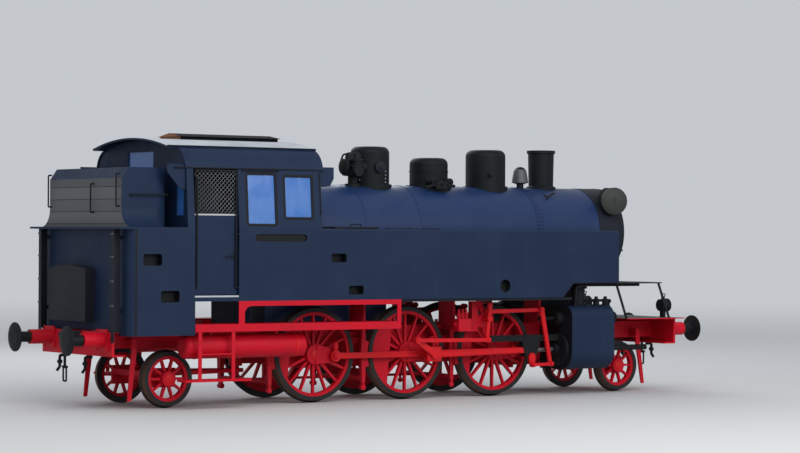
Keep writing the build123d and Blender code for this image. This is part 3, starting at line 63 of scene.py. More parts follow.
# %% Camera
camera_place = Vector((-24.482, -36.039, 2.706))
camera_heading = radians(34.72)
camera_pitch = radians(0.187)
camera_roll = radians(0.333)
focal_length_in_image_widths = 2603.2 / 800
sensor_width = 36


def aim_camera():
    """The camera is turned by its own three axes: to its right, up, and back from what it looks at."""
    bpy.ops.object.camera_add(location=camera_place)
    camera = bpy.context.object
    forward = Vector((sin(camera_heading) * cos(camera_pitch),
                      cos(camera_heading) * cos(camera_pitch), sin(camera_pitch)))
    level_right = Vector((cos(camera_heading), -sin(camera_heading), 0))
    level_up = level_right.cross(forward)
    right = level_right * cos(camera_roll) + level_up * sin(camera_roll)
    up = level_up * cos(camera_roll) - level_right * sin(camera_roll)
    turn = Matrix((right, up, -forward)).transposed()
    camera.rotation_mode = "QUATERNION"
    camera.rotation_quaternion = turn.to_quaternion()
    camera.data.sensor_width = sensor_width
    camera.data.lens = sensor_width * focal_length_in_image_widths
    camera.data.clip_end = 900
    bpy.context.scene.camera = camera
    return camera


print("the lens is", round(aim_camera().data.lens), "mm")

# %% [markdown]
# Materials are built from nodes, and the same few come again and again. A helper makes one node and
# hands back its output, so that a pattern reads as a line of sums and isn't lost among the links.

# %% Helpers for node patterns
def feed(tree, value, socket):
    """The socket is linked to another socket, or set to a plain value."""
    if isinstance(value, bpy.types.NodeSocket):
        tree.links.new(value, socket)
    else:
        socket.default_value = value


def maths(tree, operation, first, second=0.0, third=None, clamp=False):
    """One sum; each argument is a socket or a number."""
    node = tree.nodes.new("ShaderNodeMath")
    node.operation = operation
    node.use_clamp = clamp
    feed(tree, first, node.inputs[0])
    feed(tree, second, node.inputs[1])
    if third is not None:
        feed(tree, third, node.inputs[2])
    return node.outputs[0]


def mix_colour(tree, factor, first, second, blend="MIX"):
    """A colour mix; each argument is a socket or a plain value."""
    mix = tree.nodes.new("ShaderNodeMix")
    mix.data_type = "RGBA"
    mix.blend_type = blend
    feed(tree, factor, mix.inputs[0])
    feed(tree, first, mix.inputs[6])
    feed(tree, second, mix.inputs[7])
    return mix.outputs[2]


def fill(tree, node, values):
    """Many sockets of one node, by their names."""
    for label, value in values.items():
        feed(tree, value, node.inputs[label])


def place_in(tree):
    return tree.nodes.new("ShaderNodeTexCoord").outputs["Object"]


def stretched(tree, place, scale):
    node = tree.nodes.new("ShaderNodeMapping")
    fill(tree, node, {"Vector": place, "Scale": scale})
    return node.outputs[0]


def noise(tree, place, scale, detail):
    """Cloudy noise between 0 and 1."""
    node = tree.nodes.new("ShaderNodeTexNoise")
    fill(tree, node, {"Vector": place, "Scale": scale, "Detail": detail, "Roughness": 0.55})
    return node.outputs["Fac"]


def spread(tree, value, low, high, first=0.0, last=1.0):
    """Values between low and high are stretched smoothly to run from first to last."""
    node = tree.nodes.new("ShaderNodeMapRange")
    node.interpolation_type = "SMOOTHSTEP"
    fill(tree, node, {"Value": value, "From Min": low, "From Max": high, "To Min": first, "To Max": last})
    return node.outputs["Result"]


def relief(tree, height, strength, depth):
    """The normals of a sheet that isn't quite flat."""
    node = tree.nodes.new("ShaderNodeBump")
    fill(tree, node, {"Strength": strength, "Distance": depth, "Height": height})
    return node.outputs["Normal"]


def new_finish(name):
    """A material, its tree of nodes and its Principled shader."""
    finish = bpy.data.materials.new(name)
    finish.use_nodes = True
    return finish, finish.node_tree, finish.node_tree.nodes["Principled BSDF"]


print("helpers for sums, mixes, noise and finishes")

# %% [markdown]
# A studio for a long dark object needs large soft lamps, because dark paint shows mostly what it
# mirrors. One broad lamp hangs over the near side, one is lower and further out for the wheels, and
# a third lights the far side, so that the engine reads well from all round. The floor is darker near
# the engine, where the lamps add to the sky, and paler far out, where it has to come close to the
# background, so that no hard horizon crosses the view.

# %% Floor, world and lamps
background_colour = (0.555, 0.580, 0.617, 1)
floor_tone_near, floor_tone_far = 0.56, 0.88
floor_near, floor_far = 8, 70


def plain_floor():
    bpy.ops.object.select_all(action="DESELECT")
    bpy.ops.mesh.primitive_plane_add(size=1600, location=(0, 0, -0.004))
    floor = bpy.context.object
    floor.name = "floor"
    finish, tree, shader = new_finish("pale floor")
    away = tree.nodes.new("ShaderNodeVectorMath")
    away.operation = "LENGTH"
    tree.links.new(place_in(tree), away.inputs[0])
    tone = spread(tree, away.outputs["Value"], floor_near, floor_far, floor_tone_near, floor_tone_far)
    fill(tree, shader, {"Base Color": tone, "Roughness": 1.0, "Specular IOR Level": 0.0})
    floor.data.materials.append(finish)


def pale_world():
    """It lights the engine like an even sky; the eye, mirrors and glass see the background colour."""
    world = bpy.data.worlds.new("studio")
    bpy.context.scene.world = world
    world.use_nodes = True
    tree = world.node_tree
    sky = tree.nodes["Background"]
    fill(tree, sky, {"Color": (0.90, 0.94, 1.0, 1), "Strength": 0.7})
    seen = tree.nodes.new("ShaderNodeBackground")
    fill(tree, seen, {"Color": background_colour, "Strength": 1.0})
    rays = tree.nodes.new("ShaderNodeLightPath").outputs
    by_eye = maths(tree, "MAXIMUM", rays["Is Camera Ray"], rays["Is Glossy Ray"])
    at_all = maths(tree, "MAXIMUM", by_eye, rays["Is Transmission Ray"])
    choice = tree.nodes.new("ShaderNodeMixShader")
    tree.links.new(at_all, choice.inputs[0])
    tree.links.new(sky.outputs[0], choice.inputs[1])
    tree.links.new(seen.outputs[0], choice.inputs[2])
    tree.links.new(choice.outputs[0], tree.nodes["World Output"].inputs["Surface"])


def soft_lamp(name, place, aim, size, power, colour=(1, 1, 1)):
    bpy.ops.object.light_add(type="AREA", location=place)
    lamp = bpy.context.object
    lamp.name = name
    lamp.data.shape = "RECTANGLE"
    lamp.data.size, lamp.data.size_y = size
    lamp.data.energy = power
    lamp.data.color = colour
    lamp.rotation_mode = "QUATERNION"
    lamp.rotation_quaternion = (Vector(aim) - Vector(place)).to_track_quat("-Z", "Y")


plain_floor()
pale_world()
soft_lamp("lamp over the near side", (-6, -15, 15), (0, 0, 1.5), (16, 9), 1600, (1, 0.98, 0.95))
soft_lamp("lamp low at the near side", (3, -27, 11), (1, 0, 1.2), (20, 7), 2100)
soft_lamp("lamp over the far side", (4, 15, 13), (0, 0, 2), (16, 8), 1150, (0.95, 0.97, 1))
bpy.context.scene.view_settings.view_transform = "Standard"
print("three soft lamps, a floor and a pale world")

# %% [markdown]
# Old paint is never one colour. Dust lies on it in soft clouds, rain leaves faint upright streaks,
# and the sheet under it isn't quite flat. An image could show this, but it would stretch on a real
# size of 12 metres, so it is made from noise. The effect is the same on every finish, so it is one
# node group, which is built once and placed in each material with its own values.

# %% Weathering, shared by all paints
def weathering_group():
    """Dust clouds and rain streaks over a paint colour, how rough each place is, and its height."""
    group = bpy.data.node_groups.new("weathering", "ShaderNodeTree")
    for kind, label, value in (
            ("Color", "Paint", (0.1, 0.1, 0.1, 1)), ("Color", "Dust", (0.2, 0.18, 0.16, 1)),
            ("Float", "Dust amount", 0.2), ("Float", "Streaks", 0.2), ("Float", "Gloss", 0.3)):
        socket = group.interface.new_socket(label, in_out="INPUT", socket_type="NodeSocket" + kind)
        socket.default_value = value
    for kind, label in (("Color", "Colour"), ("Float", "Roughness"), ("Float", "Height")):
        group.interface.new_socket(label, in_out="OUTPUT", socket_type="NodeSocket" + kind)
    given = group.nodes.new("NodeGroupInput").outputs
    place = place_in(group)
    clouds = spread(group, noise(group, place, 1.6, 6), 0.42, 0.72)
    grain = noise(group, place, 60, 3)
    streaks = spread(group, noise(group, stretched(group, place, (9, 9, 0.7)), 1.0, 5), 0.5, 0.75)
    dusty = maths(group, "MULTIPLY", clouds, given["Dust amount"])
    streaky = maths(group, "MULTIPLY", streaks, given["Streaks"])
    cover = maths(group, "ADD", dusty, streaky, clamp=True)
    colour = mix_colour(group, cover, given["Paint"], given["Dust"])
    shade = maths(group, "MULTIPLY_ADD", grain, 0.16, 0.92)
    rougher = maths(group, "MULTIPLY", cover, 0.5)
    uneven = maths(group, "MULTIPLY", grain, 0.12)
    rough = maths(group, "ADD", given["Gloss"], maths(group, "ADD", rougher, uneven), clamp=True)
    sheet = noise(group, place, 2.2, 2)
    pores = maths(group, "MULTIPLY", noise(group, place, 240, 2), 0.02)
    fill(group, group.nodes.new("NodeGroupOutput"),
         {"Colour": mix_colour(group, 1.0, colour, shade, "MULTIPLY"), "Roughness": rough,
          "Height": maths(group, "ADD", sheet, pores)})
    return group


weathering = weathering_group()
print("one group:", weathering.name)

# %% [markdown]
# Each paint is a Principled shader that takes its colour, roughness and height from the weathering
# group. The colours below are in linear light and are the paints' own, except the blue of the window
# panes, which is a painted reflection of the sky. Dark paint gets a low specular level, because a thick
# coat of old paint shines far less than new enamel and keeps its deep blue.

# %% Paints
def painted(name, paint, dust, dust_amount, streaks, roughness, shine, coat=0.0, metal=0.0):
    finish, tree, shader = new_finish(name)
    wear = tree.nodes.new("ShaderNodeGroup")
    wear.node_tree = weathering
    fill(tree, wear, {"Paint": (*paint, 1), "Dust": (*dust, 1), "Dust amount": dust_amount,
                      "Streaks": streaks, "Gloss": roughness})
    fill(tree, shader, {"Base Color": wear.outputs["Colour"], "Roughness": wear.outputs["Roughness"],
                        "Normal": relief(tree, wear.outputs["Height"], 0.35, 0.02), "Metallic": metal,
                        "Specular IOR Level": shine, "Coat Weight": coat, "Coat Roughness": 0.2})
    return finish


paint_table = {  # paint, dust on it, how much dust, streaks, roughness, shine, then coat and metal
    "cab blue-black": ((0.008, 0.019, 0.050), (0.020, 0.036, 0.072), 0.3, 0.18, 0.45, 0.16),
    "boiler blue": ((0.007, 0.025, 0.090), (0.022, 0.044, 0.105), 0.25, 0.12, 0.34, 0.30, 0.06),
    "smokebox black": ((0.008, 0.011, 0.018), (0.024, 0.027, 0.033), 0.3, 0.1, 0.5, 0.2),
    "dome charcoal": ((0.005, 0.007, 0.009), (0.013, 0.016, 0.020), 0.3, 0.12, 0.45, 0.16),
    "part black": ((0.005, 0.006, 0.008), (0.020, 0.019, 0.018), 0.3, 0.05, 0.5, 0.2),
    "vent black": ((0.006, 0.007, 0.009), (0.020, 0.020, 0.020), 0.3, 0.05, 0.8, 0.05),
    "frame red": ((0.52, 0.004, 0.018), (0.20, 0.02, 0.02), 0.25, 0.08, 0.42, 0.15),
    "rod red": ((0.58, 0.006, 0.012), (0.18, 0.02, 0.018), 0.2, 0.04, 0.36, 0.2),
    "roof grey": ((0.36, 0.39, 0.43), (0.2, 0.21, 0.22), 0.3, 0.1, 0.6, 0.2),
    "deck grey": ((0.09, 0.10, 0.10), (0.06, 0.06, 0.055), 0.4, 0.0, 0.6, 0.2),
    "sill grey": ((0.42, 0.44, 0.46), (0.2, 0.2, 0.2), 0.3, 0.1, 0.4, 0.4),
    "bell metal": ((0.085, 0.09, 0.10), (0.05, 0.05, 0.05), 0.3, 0.1, 0.42, 0.4, 0, 0.3),
    "generator olive": ((0.028, 0.034, 0.030), (0.05, 0.055, 0.048), 0.3, 0.1, 0.45, 0.25),
    "tyre steel": ((0.018, 0.018, 0.020), (0.05, 0.042, 0.038), 0.3, 0.0, 0.45, 0.3, 0, 0.3),
    "tread rust": ((0.12, 0.065, 0.04), (0.2, 0.13, 0.09), 0.5, 0.0, 0.6, 0.3, 0, 0.2),
    "rod steel": ((0.16, 0.16, 0.17), (0.07, 0.06, 0.055), 0.3, 0.0, 0.32, 0.5, 0, 0.9),
    "rust edge": ((0.30, 0.10, 0.03), (0.1, 0.05, 0.03), 0.4, 0.1, 0.7, 0.2),
    # The panes' blue, and the bluish dust on them, is a painted reflection of the sky, not the colour of the
    # glass.
    "window pane with painted sky reflection": ((0.035, 0.135, 0.42), (0.08, 0.19, 0.42), 0.25, 0.1, 0.08, 0.5),
    "lamp glass": ((0.45, 0.46, 0.45), (0.3, 0.3, 0.28), 0.3, 0.0, 0.1, 0.6),
    "door wire": ((0.30, 0.31, 0.33), (0.12, 0.1, 0.08), 0.4, 0.0, 0.45, 0.5, 0, 0.7),
}
paints = {name: painted(name, *row) for name, row in paint_table.items()}
print(len(paints), "paints")

# %% [markdown]
# The rear wall of the coal space is boarded, and brown boards close the rear end of the roof
# ventilator. Each board could be a strip of its own, but their joints are hair-thin. So a floor
# function cuts the height into bands, and each band gets its own shade and a dark joint.

# %% Boards
def boarded(name, pale, dark, board_height, roughness):
    finish, tree, shader = new_finish(name)
    place = place_in(tree)
    split = tree.nodes.new("ShaderNodeSeparateXYZ")
    tree.links.new(place, split.inputs[0])
    boards = maths(tree, "DIVIDE", split.outputs["Z"], board_height)
    across = maths(tree, "FRACT", boards)
    shade = tree.nodes.new("ShaderNodeTexWhiteNoise")
    shade.noise_dimensions = "1D"
    tree.links.new(maths(tree, "FLOOR", boards), shade.inputs["W"])
    grain = noise(tree, stretched(tree, place, (3, 3, 60)), 1.0, 6)
    tone = maths(tree, "MULTIPLY", maths(tree, "ADD", grain, shade.outputs["Value"]), 0.5)
    wood = mix_colour(tree, tone, (*dark, 1), (*pale, 1))
    edge = maths(tree, "ABSOLUTE", maths(tree, "SUBTRACT", across, 0.5))
    joint = spread(tree, edge, 0.46, 0.49)
    height = maths(tree, "SUBTRACT", maths(tree, "MULTIPLY", grain, 0.3), joint)
    fill(tree, shader, {"Base Color": mix_colour(tree, joint, wood, (0.01, 0.01, 0.01, 1)),
                        "Roughness": maths(tree, "MULTIPLY_ADD", grain, 0.2, roughness),
                        "Normal": relief(tree, height, 0.5, 0.01)})
    return finish


paints["weathered boards"] = boarded("weathered boards", (0.13, 0.135, 0.145), (0.06, 0.063, 0.07), 0.19, 0.6)
paints["brown boards"] = boarded("brown boards", (0.42, 0.19, 0.07), (0.22, 0.08, 0.03), 0.11, 0.55)
print(len(paints), "finishes with the boards")

# %% [markdown]
# The engine is painted part by part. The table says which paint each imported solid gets: red
# below the footplate, blue above it, and black on what is hot, oily or touched by hand.

# %% Finishes of the solids
axles = ("trailing", "rear_driver", "main_driver", "front_driver", "leading")
finish_of = {
    "frame red": ["main_frame", "buffer_beams", "ashpan", "brake_rigging", "air_reservoirs", "running_boards",
                  "pony_truck_front", "pony_truck_rear", "motion_brackets", "lubricator", "front_platform"]
                 + ["wheels_" + axle for axle in axles],
    "rod red": ["main_rods", "valve_gears", "coupling_rod_right", "coupling_rod_left"],
    "part black": ["buffers", "draw_hooks", "lamps", "tank_lid_right", "tank_lid_left"],
    "vent black": ["roof_ventilator"],
    "tyre steel": ["tyres_" + axle for axle in axles],
    "boiler blue": ["boiler", "smokebox"],
    "smokebox black": ["smokebox_door", "smokebox_saddle", "bunker_fittings"],
    "generator olive": ["turbo_generator"],
    "bell metal": ["bell"],
    "dome charcoal": ["steam_dome", "feed_dome", "sand_dome", "chimney"],
    # The cab glass gets the panes' blue, a painted reflection of the sky.
    "window pane with painted sky reflection": ["cab_glass"],
    "cab blue-black": ["side_tanks", "cab_floor", "cab_sides", "cab_front", "cab_rear", "cab_door_right",
                       "cab_door_left", "bunker_lower", "bunker_upper", "cab_roof", "cylinders"],
}
for paint_name, members in finish_of.items():
    for node_name in members:
        mesh = nodes[node_name].data
        mesh.materials.clear()
        mesh.materials.append(paints[paint_name])
print("finishes on", sum(len(members) for members in finish_of.values()), "of", len(nodes), "nodes")

# %% [markdown]
# Some solids carry two colours: the roof is pale in its middle and dark on its cheeks, the slide bars
# and crossheads are black between red rods, and tyres are brown on their treads. The solids can't be
# cut, so a second material goes into the node's slots, and faces are given to it by their place and
# direction. A later line may paint over an earlier one, like a second coat.

# %% Second colours by place
def second_finish(node_name, paint, belongs):
    """Faces for which belongs(middle, normal) is true get another finish."""
    mesh = nodes[node_name].data
    mesh.materials.append(paints[paint])
    slot = len(mesh.materials) - 1
    count = 0
    for face in mesh.polygons:
        if belongs(face.center, face.normal):
            face.material_index = slot
            count += 1
    print(node_name, paint, count, "faces")


def crosshead_reach(side):
    """How far back and forward the crosshead reaches: its slipper is the highest part of the rods."""
    slipper = [v.co.x for v in nodes["main_rods"].data.vertices
               if v.co.y * side > 1.03 and abs(v.co.z - 0.9) < 0.035 and v.co.x > 1.9]
    return min(slipper), max(slipper)


reach = {side: crosshead_reach(side) for side, hand in side_names}


def on_crosshead(middle, normal):
    low, high = reach[-1 if middle.y < 0 else 1]
    return low - 0.01 < middle.x < high + 0.01 and abs(middle.y) > 1.01


def on_piston_rod(middle, normal):
    return middle.x > reach[-1 if middle.y < 0 else 1][1] + 0.01


def in_pocket(middle):
    """Step pockets are let into the sides, so their faces lie a little inside the sheet."""
    return 1.36 < abs(middle.y) < 1.499


second_finish("cab_roof", "roof grey", lambda m, n: abs(m.y) < 1.19 and n.z > 0.5)
second_finish("roof_ventilator", "brown boards", lambda m, n: n.x < -0.7)
second_finish("main_rods", "part black", on_crosshead)
second_finish("main_rods", "rod steel", on_piston_rod)
second_finish("motion_brackets", "part black", lambda m, n: m.z < 1.04 and abs(m.y) > 1.02)
for axle in axles:
    second_finish("tyres_" + axle, "tread rust", lambda m, n: abs(n.y) < 0.5)
second_finish("bunker_upper", "weathered boards", lambda m, n: n.x < -0.9 and m.x < -5.4)
second_finish("bunker_upper", "rust edge", lambda m, n: n.z > 0.9 and m.z > 3.70)
second_finish("front_platform", "smokebox black", lambda m, n: m.z > 1.5 and n.z > -0.5)
second_finish("front_platform", "deck grey", lambda m, n: m.z < 1.30 and n.z > 0.5)
second_finish("front_platform", "part black", lambda m, n: 1.32 < m.z < 1.88)
second_finish("buffers", "frame red", lambda m, n: 5.6 <= abs(m.x) < 5.98)
second_finish("bell", "part black", lambda m, n: m.z < 3.60 or m.z > 3.86)
second_finish("cylinders", "part black", lambda m, n: m.x > 4.06 or m.x < 3.06 or abs(n.x) > 0.9)
second_finish("smokebox", "smokebox black",
              lambda m, n: m.x > 4.74 or abs(m.y) ** 2 + (m.z - boiler_axis) ** 2 < 0.5)
# Painted shade: the faces inside the recessed slot below the cab windows are painted black, standing in for
# the shade in the recess.
second_finish("cab_sides", "part black",
              lambda m, n: -3.30 < m.x < -2.30 and 2.58 < m.z < 2.72 and abs(m.y) < 1.497)
# Painted shade: the faces inside the step pockets of the tanks and the bunker are painted black, standing in
# for the shade in these recesses.
second_finish("side_tanks", "part black", lambda m, n: in_pocket(m) and m.z < 2.75 and m.x < 3)
second_finish("bunker_lower", "part black", lambda m, n: in_pocket(m) and 1.65 < m.z < 2.45 and m.x > -5.4)

# %% [markdown]
# Everything that follows is modelled as by hand. An operator acts on all that is selected, so each
# helper first lets go of everything. At the end a piece settles: its place goes into its mesh, its
# edges are worn round, and it gets its finish and the body that it rides on.

# %% Helpers that select, join, repeat and settle
made = []


def rest():
    """Nothing stays selected, so that the next operator acts on the new piece alone."""
    if bpy.context.mode != "OBJECT":
        bpy.ops.object.mode_set(mode="OBJECT")
    bpy.ops.object.select_all(action="DESELECT")


def edit_all():
    """Edit mode, with every part of the mesh selected."""
    bpy.ops.object.mode_set(mode="EDIT")
    bpy.ops.mesh.select_all(action="SELECT")


def stand(piece, place, direction):
    """A piece made at the origin, facing up, is put in its place and turned to face its direction."""
    turn = Vector(direction).to_track_quat("Z", "Y")
    piece.matrix_world = Matrix.Translation(place) @ turn.to_matrix().to_4x4()
    return piece


def joined(pieces):
    rest()
    for piece in pieces:
        piece.select_set(True)
    bpy.context.view_layer.objects.active = pieces[0]
    if len(pieces) > 1:
        bpy.ops.object.join()
    return bpy.context.object


def repeated(pattern, places):
    """The pattern is copied to each place, each copy with its own mesh, and all become one piece."""
    copies = []
    for place in places:
        copy = pattern.copy()
        copy.data = pattern.data.copy()
        bpy.context.collection.objects.link(copy)
        copy.matrix_world = Matrix.Translation(place) @ pattern.matrix_world
        copies.append(copy)
    bpy.data.objects.remove(pattern)
    return joined(copies)


def settle(piece, name, paint, edge=0.0, body="chassis"):
    joined([piece])  # a piece that is joined with nothing is just selected
    bpy.ops.object.transform_apply(location=True, rotation=True, scale=True)
    if edge:
        wear = piece.modifiers.new("worn edges", "BEVEL")
        wear.width = edge
        wear.segments = 2
        wear.limit_method = "ANGLE"
        wear.angle_limit = radians(40)
        bpy.ops.object.modifier_apply(modifier="worn edges")
    edit_all()
    bpy.ops.mesh.normals_make_consistent(inside=False)
    bpy.ops.object.mode_set(mode="OBJECT")
    bpy.ops.object.shade_smooth_by_angle(angle=radians(35))
    piece.name = piece.data.name = name
    piece.data.materials.clear()
    piece.data.materials.append(paints[paint])
    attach(piece, body)
    made.append(name)


# %% [markdown]
# Most fittings come from one of five shapes. A plate or bar is stretched between two corners. Turned
# work grows from a disc by extruding and resizing, as a lathe tool would step along it. A bent pipe
# is a curve with a round section, because its corners stay round at any bend. A window rubber is an
# inset plate with bevelled corners, and a strap is a circle that is drawn out and thickened.

# %% Helpers that shape new pieces
def plate(corner, far_corner):
    rest()
    low = Vector([min(pair) for pair in zip(corner, far_corner)])
    high = Vector([max(pair) for pair in zip(corner, far_corner)])
    bpy.ops.mesh.primitive_cube_add(size=1, location=(low + high) / 2, scale=high - low)
    return bpy.context.object


def turned(place, direction, steps, sides=20):
    """Turned work. Each step is (height, radius)."""
    rest()
    height, radius = steps[0]
    bpy.ops.mesh.primitive_circle_add(vertices=sides, radius=radius, fill_type="NGON",
                                      location=(0, 0, height))
    piece = bpy.context.object
    edit_all()
    for next_height, next_radius in steps[1:]:
        bpy.ops.mesh.extrude_region_move(TRANSFORM_OT_translate={"value": (0, 0, next_height - height)})
        share = next_radius / radius
        bpy.ops.transform.resize(value=(share, share, 1), center_override=(0, 0, next_height))
        height, radius = next_height, next_radius
    bpy.ops.object.mode_set(mode="OBJECT")
    bpy.ops.object.transform_apply(location=True, rotation=True, scale=True)
    return stand(piece, place, direction)


def bent_pipe(points, radius, bend=0.05):
    """A round bar along straight runs, with rounded corners."""
    rest()
    points = [Vector(point) for point in points]
    route = [points[0]]
    for before, corner, after in zip(points, points[1:], points[2:]):
        route.append(corner + (before - corner).normalized() * min(bend, (before - corner).length * 0.45))
        route.append(corner)
        route.append(corner + (after - corner).normalized() * min(bend, (after - corner).length * 0.45))
    route.append(points[-1])
    bpy.ops.curve.primitive_nurbs_path_add()
    curve = bpy.context.object.data
    curve.splines.clear()
    spline = curve.splines.new("NURBS")
    spline.points.add(len(route) - 1)
    for control, point in zip(spline.points, route):
        control.co = (*point, 1)
    spline.order_u = 3
    spline.use_endpoint_u = True
    curve.resolution_u = 3
    curve.bevel_depth = radius
    curve.bevel_resolution = 2
    curve.use_fill_caps = True
    bpy.ops.object.convert(target="MESH")
    return bpy.context.object


def frame_ring(centre, size, corner, bar, depth, along=(1, 0, 0), up=(0, 0, 1)):
    """A flat frame with rounded corners."""
    rest()
    bpy.ops.mesh.primitive_plane_add(size=1, location=(0, 0, 0))
    piece = bpy.context.object
    piece.scale = (size[0], size[1], 1)
    bpy.ops.object.transform_apply(location=False, rotation=False, scale=True)
    edit_all()
    bpy.ops.mesh.bevel(offset=corner, segments=5, affect="VERTICES")
    bpy.ops.mesh.select_all(action="SELECT")
    bpy.ops.mesh.inset(thickness=bar)
    bpy.ops.mesh.delete(type="FACE")
    bpy.ops.mesh.select_all(action="SELECT")
    bpy.ops.mesh.extrude_region_move(TRANSFORM_OT_translate={"value": (0, 0, depth)})
    bpy.ops.object.mode_set(mode="OBJECT")
    along, up = Vector(along).normalized(), Vector(up).normalized()
    turn = Matrix((along, up, along.cross(up))).transposed()
    piece.matrix_world = Matrix.Translation(centre) @ turn.to_4x4()
    return piece


def band(place, direction, radius, width, thick, sides=64):
    """A strap round a pipe or drum."""
    rest()
    bpy.ops.mesh.primitive_circle_add(vertices=sides, radius=radius, fill_type="NOTHING", location=(0, 0, 0))
    piece = bpy.context.object
    edit_all()
    bpy.ops.mesh.extrude_region_move(TRANSFORM_OT_translate={"value": (0, 0, width)})
    bpy.ops.mesh.select_all(action="SELECT")
    bpy.ops.mesh.normals_make_consistent(inside=False)
    bpy.ops.object.mode_set(mode="OBJECT")
    wall = piece.modifiers.new("wall", "SOLIDIFY")
    wall.thickness = thick
    wall.offset = 1
    bpy.ops.object.modifier_apply(modifier="wall")
    return stand(piece, place, direction)


print("five helpers for new shapes")

# %% [markdown]
# Rivets and bolts hold the sheets. There are hundreds, so one head is turned with few sides and then
# copied to every place of its row: a rivet is a low dome, and a bolt has a washer and six sides.

# %% Rivets and bolts
def rivets(name, paint, direction, radius, places):
    steps = [(-0.004, radius), (radius * 0.3, radius * 0.9), (radius * 0.6, radius * 0.5)]
    settle(repeated(turned((0, 0, 0), direction, steps, 8), places), name, paint)


def bolts(name, paint, direction, radius, places, body="chassis"):
    steps = [(-0.003, radius * 1.25), (radius * 0.22, radius * 1.25), (radius * 0.25, radius * 0.95),
             (radius * 0.9, radius * 0.95), (radius * 1.05, radius * 0.75)]
    settle(repeated(turned((0, 0, 0), direction, steps, 6), places), name, paint, body=body)


def ring_places(x, y, z, radius, count, start=0.0):
    """Places on a circle that faces along the engine."""
    return [(x, y + radius * cos(start + 2 * pi * i / count), z + radius * sin(start + 2 * pi * i / count))
            for i in range(count)]


for side, hand in side_names:
    y = side * cylinder_y
    bolts("cylinder_front_bolts_" + hand, "part black", forwards, 0.014,
          ring_places(4.055, y, driver_height, 0.238, 14))
    bolts("cylinder_rear_bolts_" + hand, "part black", rearwards, 0.014,
          ring_places(2.995, y, driver_height, 0.238, 14))
    bolts("valve_cover_bolts_" + hand, "part black", forwards, 0.010, ring_places(4.245, y, 1.303, 0.078, 6))
    bolts("slide_bar_bolts_" + hand, "part black", (0, side, 0), 0.012,
          [(1.63 + 0.32 * i, side * 1.14, 0.978) for i in range(5)])
    strip = plate((-0.50, side * 1.455, 1.626), (3.02, side * 1.475, 1.667))
    settle(strip, "tank_foot_angle_" + hand, "smokebox black", 0.003)
    rivets("tank_foot_rivets_" + hand, "smokebox black", (0, side, 0), 0.011,
           [(-0.45 + 0.092 * i, side * 1.475, 1.647) for i in range(38)])
print(len(made), "pieces")

# %% [markdown]
# The smokebox is riveted round its rear joint and its front ring, and its front end is black from the
# heat. The rivets stand square to a curved sheet, so each is turned in its own direction. The
# turbo-generator beside the door gets its bolts and a round cover on its outer side.

# %% Smokebox and generator
front_band_rise = 0.006
heads = []
for x in (2.900, 2.955, 4.640):
    radius = boiler_radius + (front_band_rise if x > 4 else 0)
    for i in range(41):
        angle = radians(-12 + 204 * i / 40)
        outward = Vector((0, cos(angle), sin(angle)))
        heads.append(turned((x, radius * outward.y, boiler_axis + radius * outward.z), outward,
                            [(-0.004, 0.013), (0.004, 0.012), (0.008, 0.006)], 8))
settle(joined(heads), "smokebox_rivets", "smokebox black")
settle(band((4.20, 0, boiler_axis), forwards, boiler_radius - 0.001, 0.545, 0.007),
       "smokebox_front_band", "smokebox black")
settle(band((2.850, 0, boiler_axis), forwards, boiler_radius + 0.001, 0.03, 0.006),
       "smokebox_joint_band", "boiler blue")
bolts("smokebox_front_bolts", "smokebox black", forwards, 0.014,
      ring_places(4.755, 0, boiler_axis, 0.675, 28, 0.1))
bolts("smokebox_door_bolts", "smokebox black", forwards, 0.013,
      ring_places(4.784, 0, boiler_axis, 0.535, 16, 0.2), "smokebox_door_leaf")
generator_height = 3.318
bolts("generator_bolts", "part black", forwards, 0.010,
      ring_places(4.565, -0.64, generator_height, 0.205, 12))
cover_direction = Vector((-0.34, -0.94, 0)).normalized()
cover = turned((4.47, -0.80, generator_height), cover_direction,
               [(-0.10, 0.19), (0.0, 0.215), (0.015, 0.238), (0.045, 0.238), (0.052, 0.215), (0.066, 0.19),
                (0.072, 0.05)], 40)
settle(cover, "generator_cover", "generator olive", 0.003)
print(len(made), "pieces")

# %% [markdown]
# Black rubbers with rounded corners hold the cab's side windows, a rain strip sheds water above the
# rear one, and thin bars cover the seams of the roof and the cab's corner. The upper wall leans
# inwards, so rubbers and corner bars ask wall_y how far out the sheet stands at their height.

# %% Cab windows and seams
lean = 0.075 / 0.973
belt_height, half_width = 2.805, 1.5
window_table = [  # rear end, front end, sill and head of each side window
    (-3.422, -2.880, 2.841, 3.654),
    (-2.737, -2.203, 2.949, 3.628),
]


def wall_y(z):
    """How far the outside of the cab side stands from the middle at a height."""
    return half_width - lean * max(0.0, z - belt_height)


for side, hand in side_names:
    along, up = (-side, 0, 0), (0, -side * lean, 1)
    for number, (rear, front, sill, head) in enumerate(window_table, 1):
        middle = (sill + head) / 2
        ring = frame_ring(((rear + front) / 2, side * (wall_y(middle) - 0.013), middle),
                          (front - rear + 0.036, head - sill + 0.036), 0.060, 0.044, 0.014, along, up)
        settle(ring, "window_rubber_%s_%d" % (hand, number), "part black", 0.002)
    strip = plate((-3.50, side * 1.428, 3.690), (-2.82, side * 1.462, 3.704))
    settle(strip, "rain_strip_" + hand, "part black", 0.003)
    corner = bent_pipe([(-2.062, side * (wall_y(z) + 0.003), z) for z in (3.02, 3.68)], 0.011)
    settle(corner, "cab_corner_bar_" + hand, "part black")
    seam = bent_pipe([(x, side * 1.203, 4.062) for x in (-4.69, -1.985)], 0.009)
    gutter = bent_pipe([(x, side * 1.432, 3.722) for x in (-4.69, -1.985)], 0.012)
    settle(joined([seam, gutter]), "roof_seams_" + hand, "part black")
print(len(made), "pieces")

# %% [markdown]
# Grab rails stand in the doorway beside the door, and a pale sill lies at its foot. The rails are
# bent from one bar, and a small turned foot holds each to the jamb. Nothing may stand outside the
# engine's width, so they lie inside the doorway.

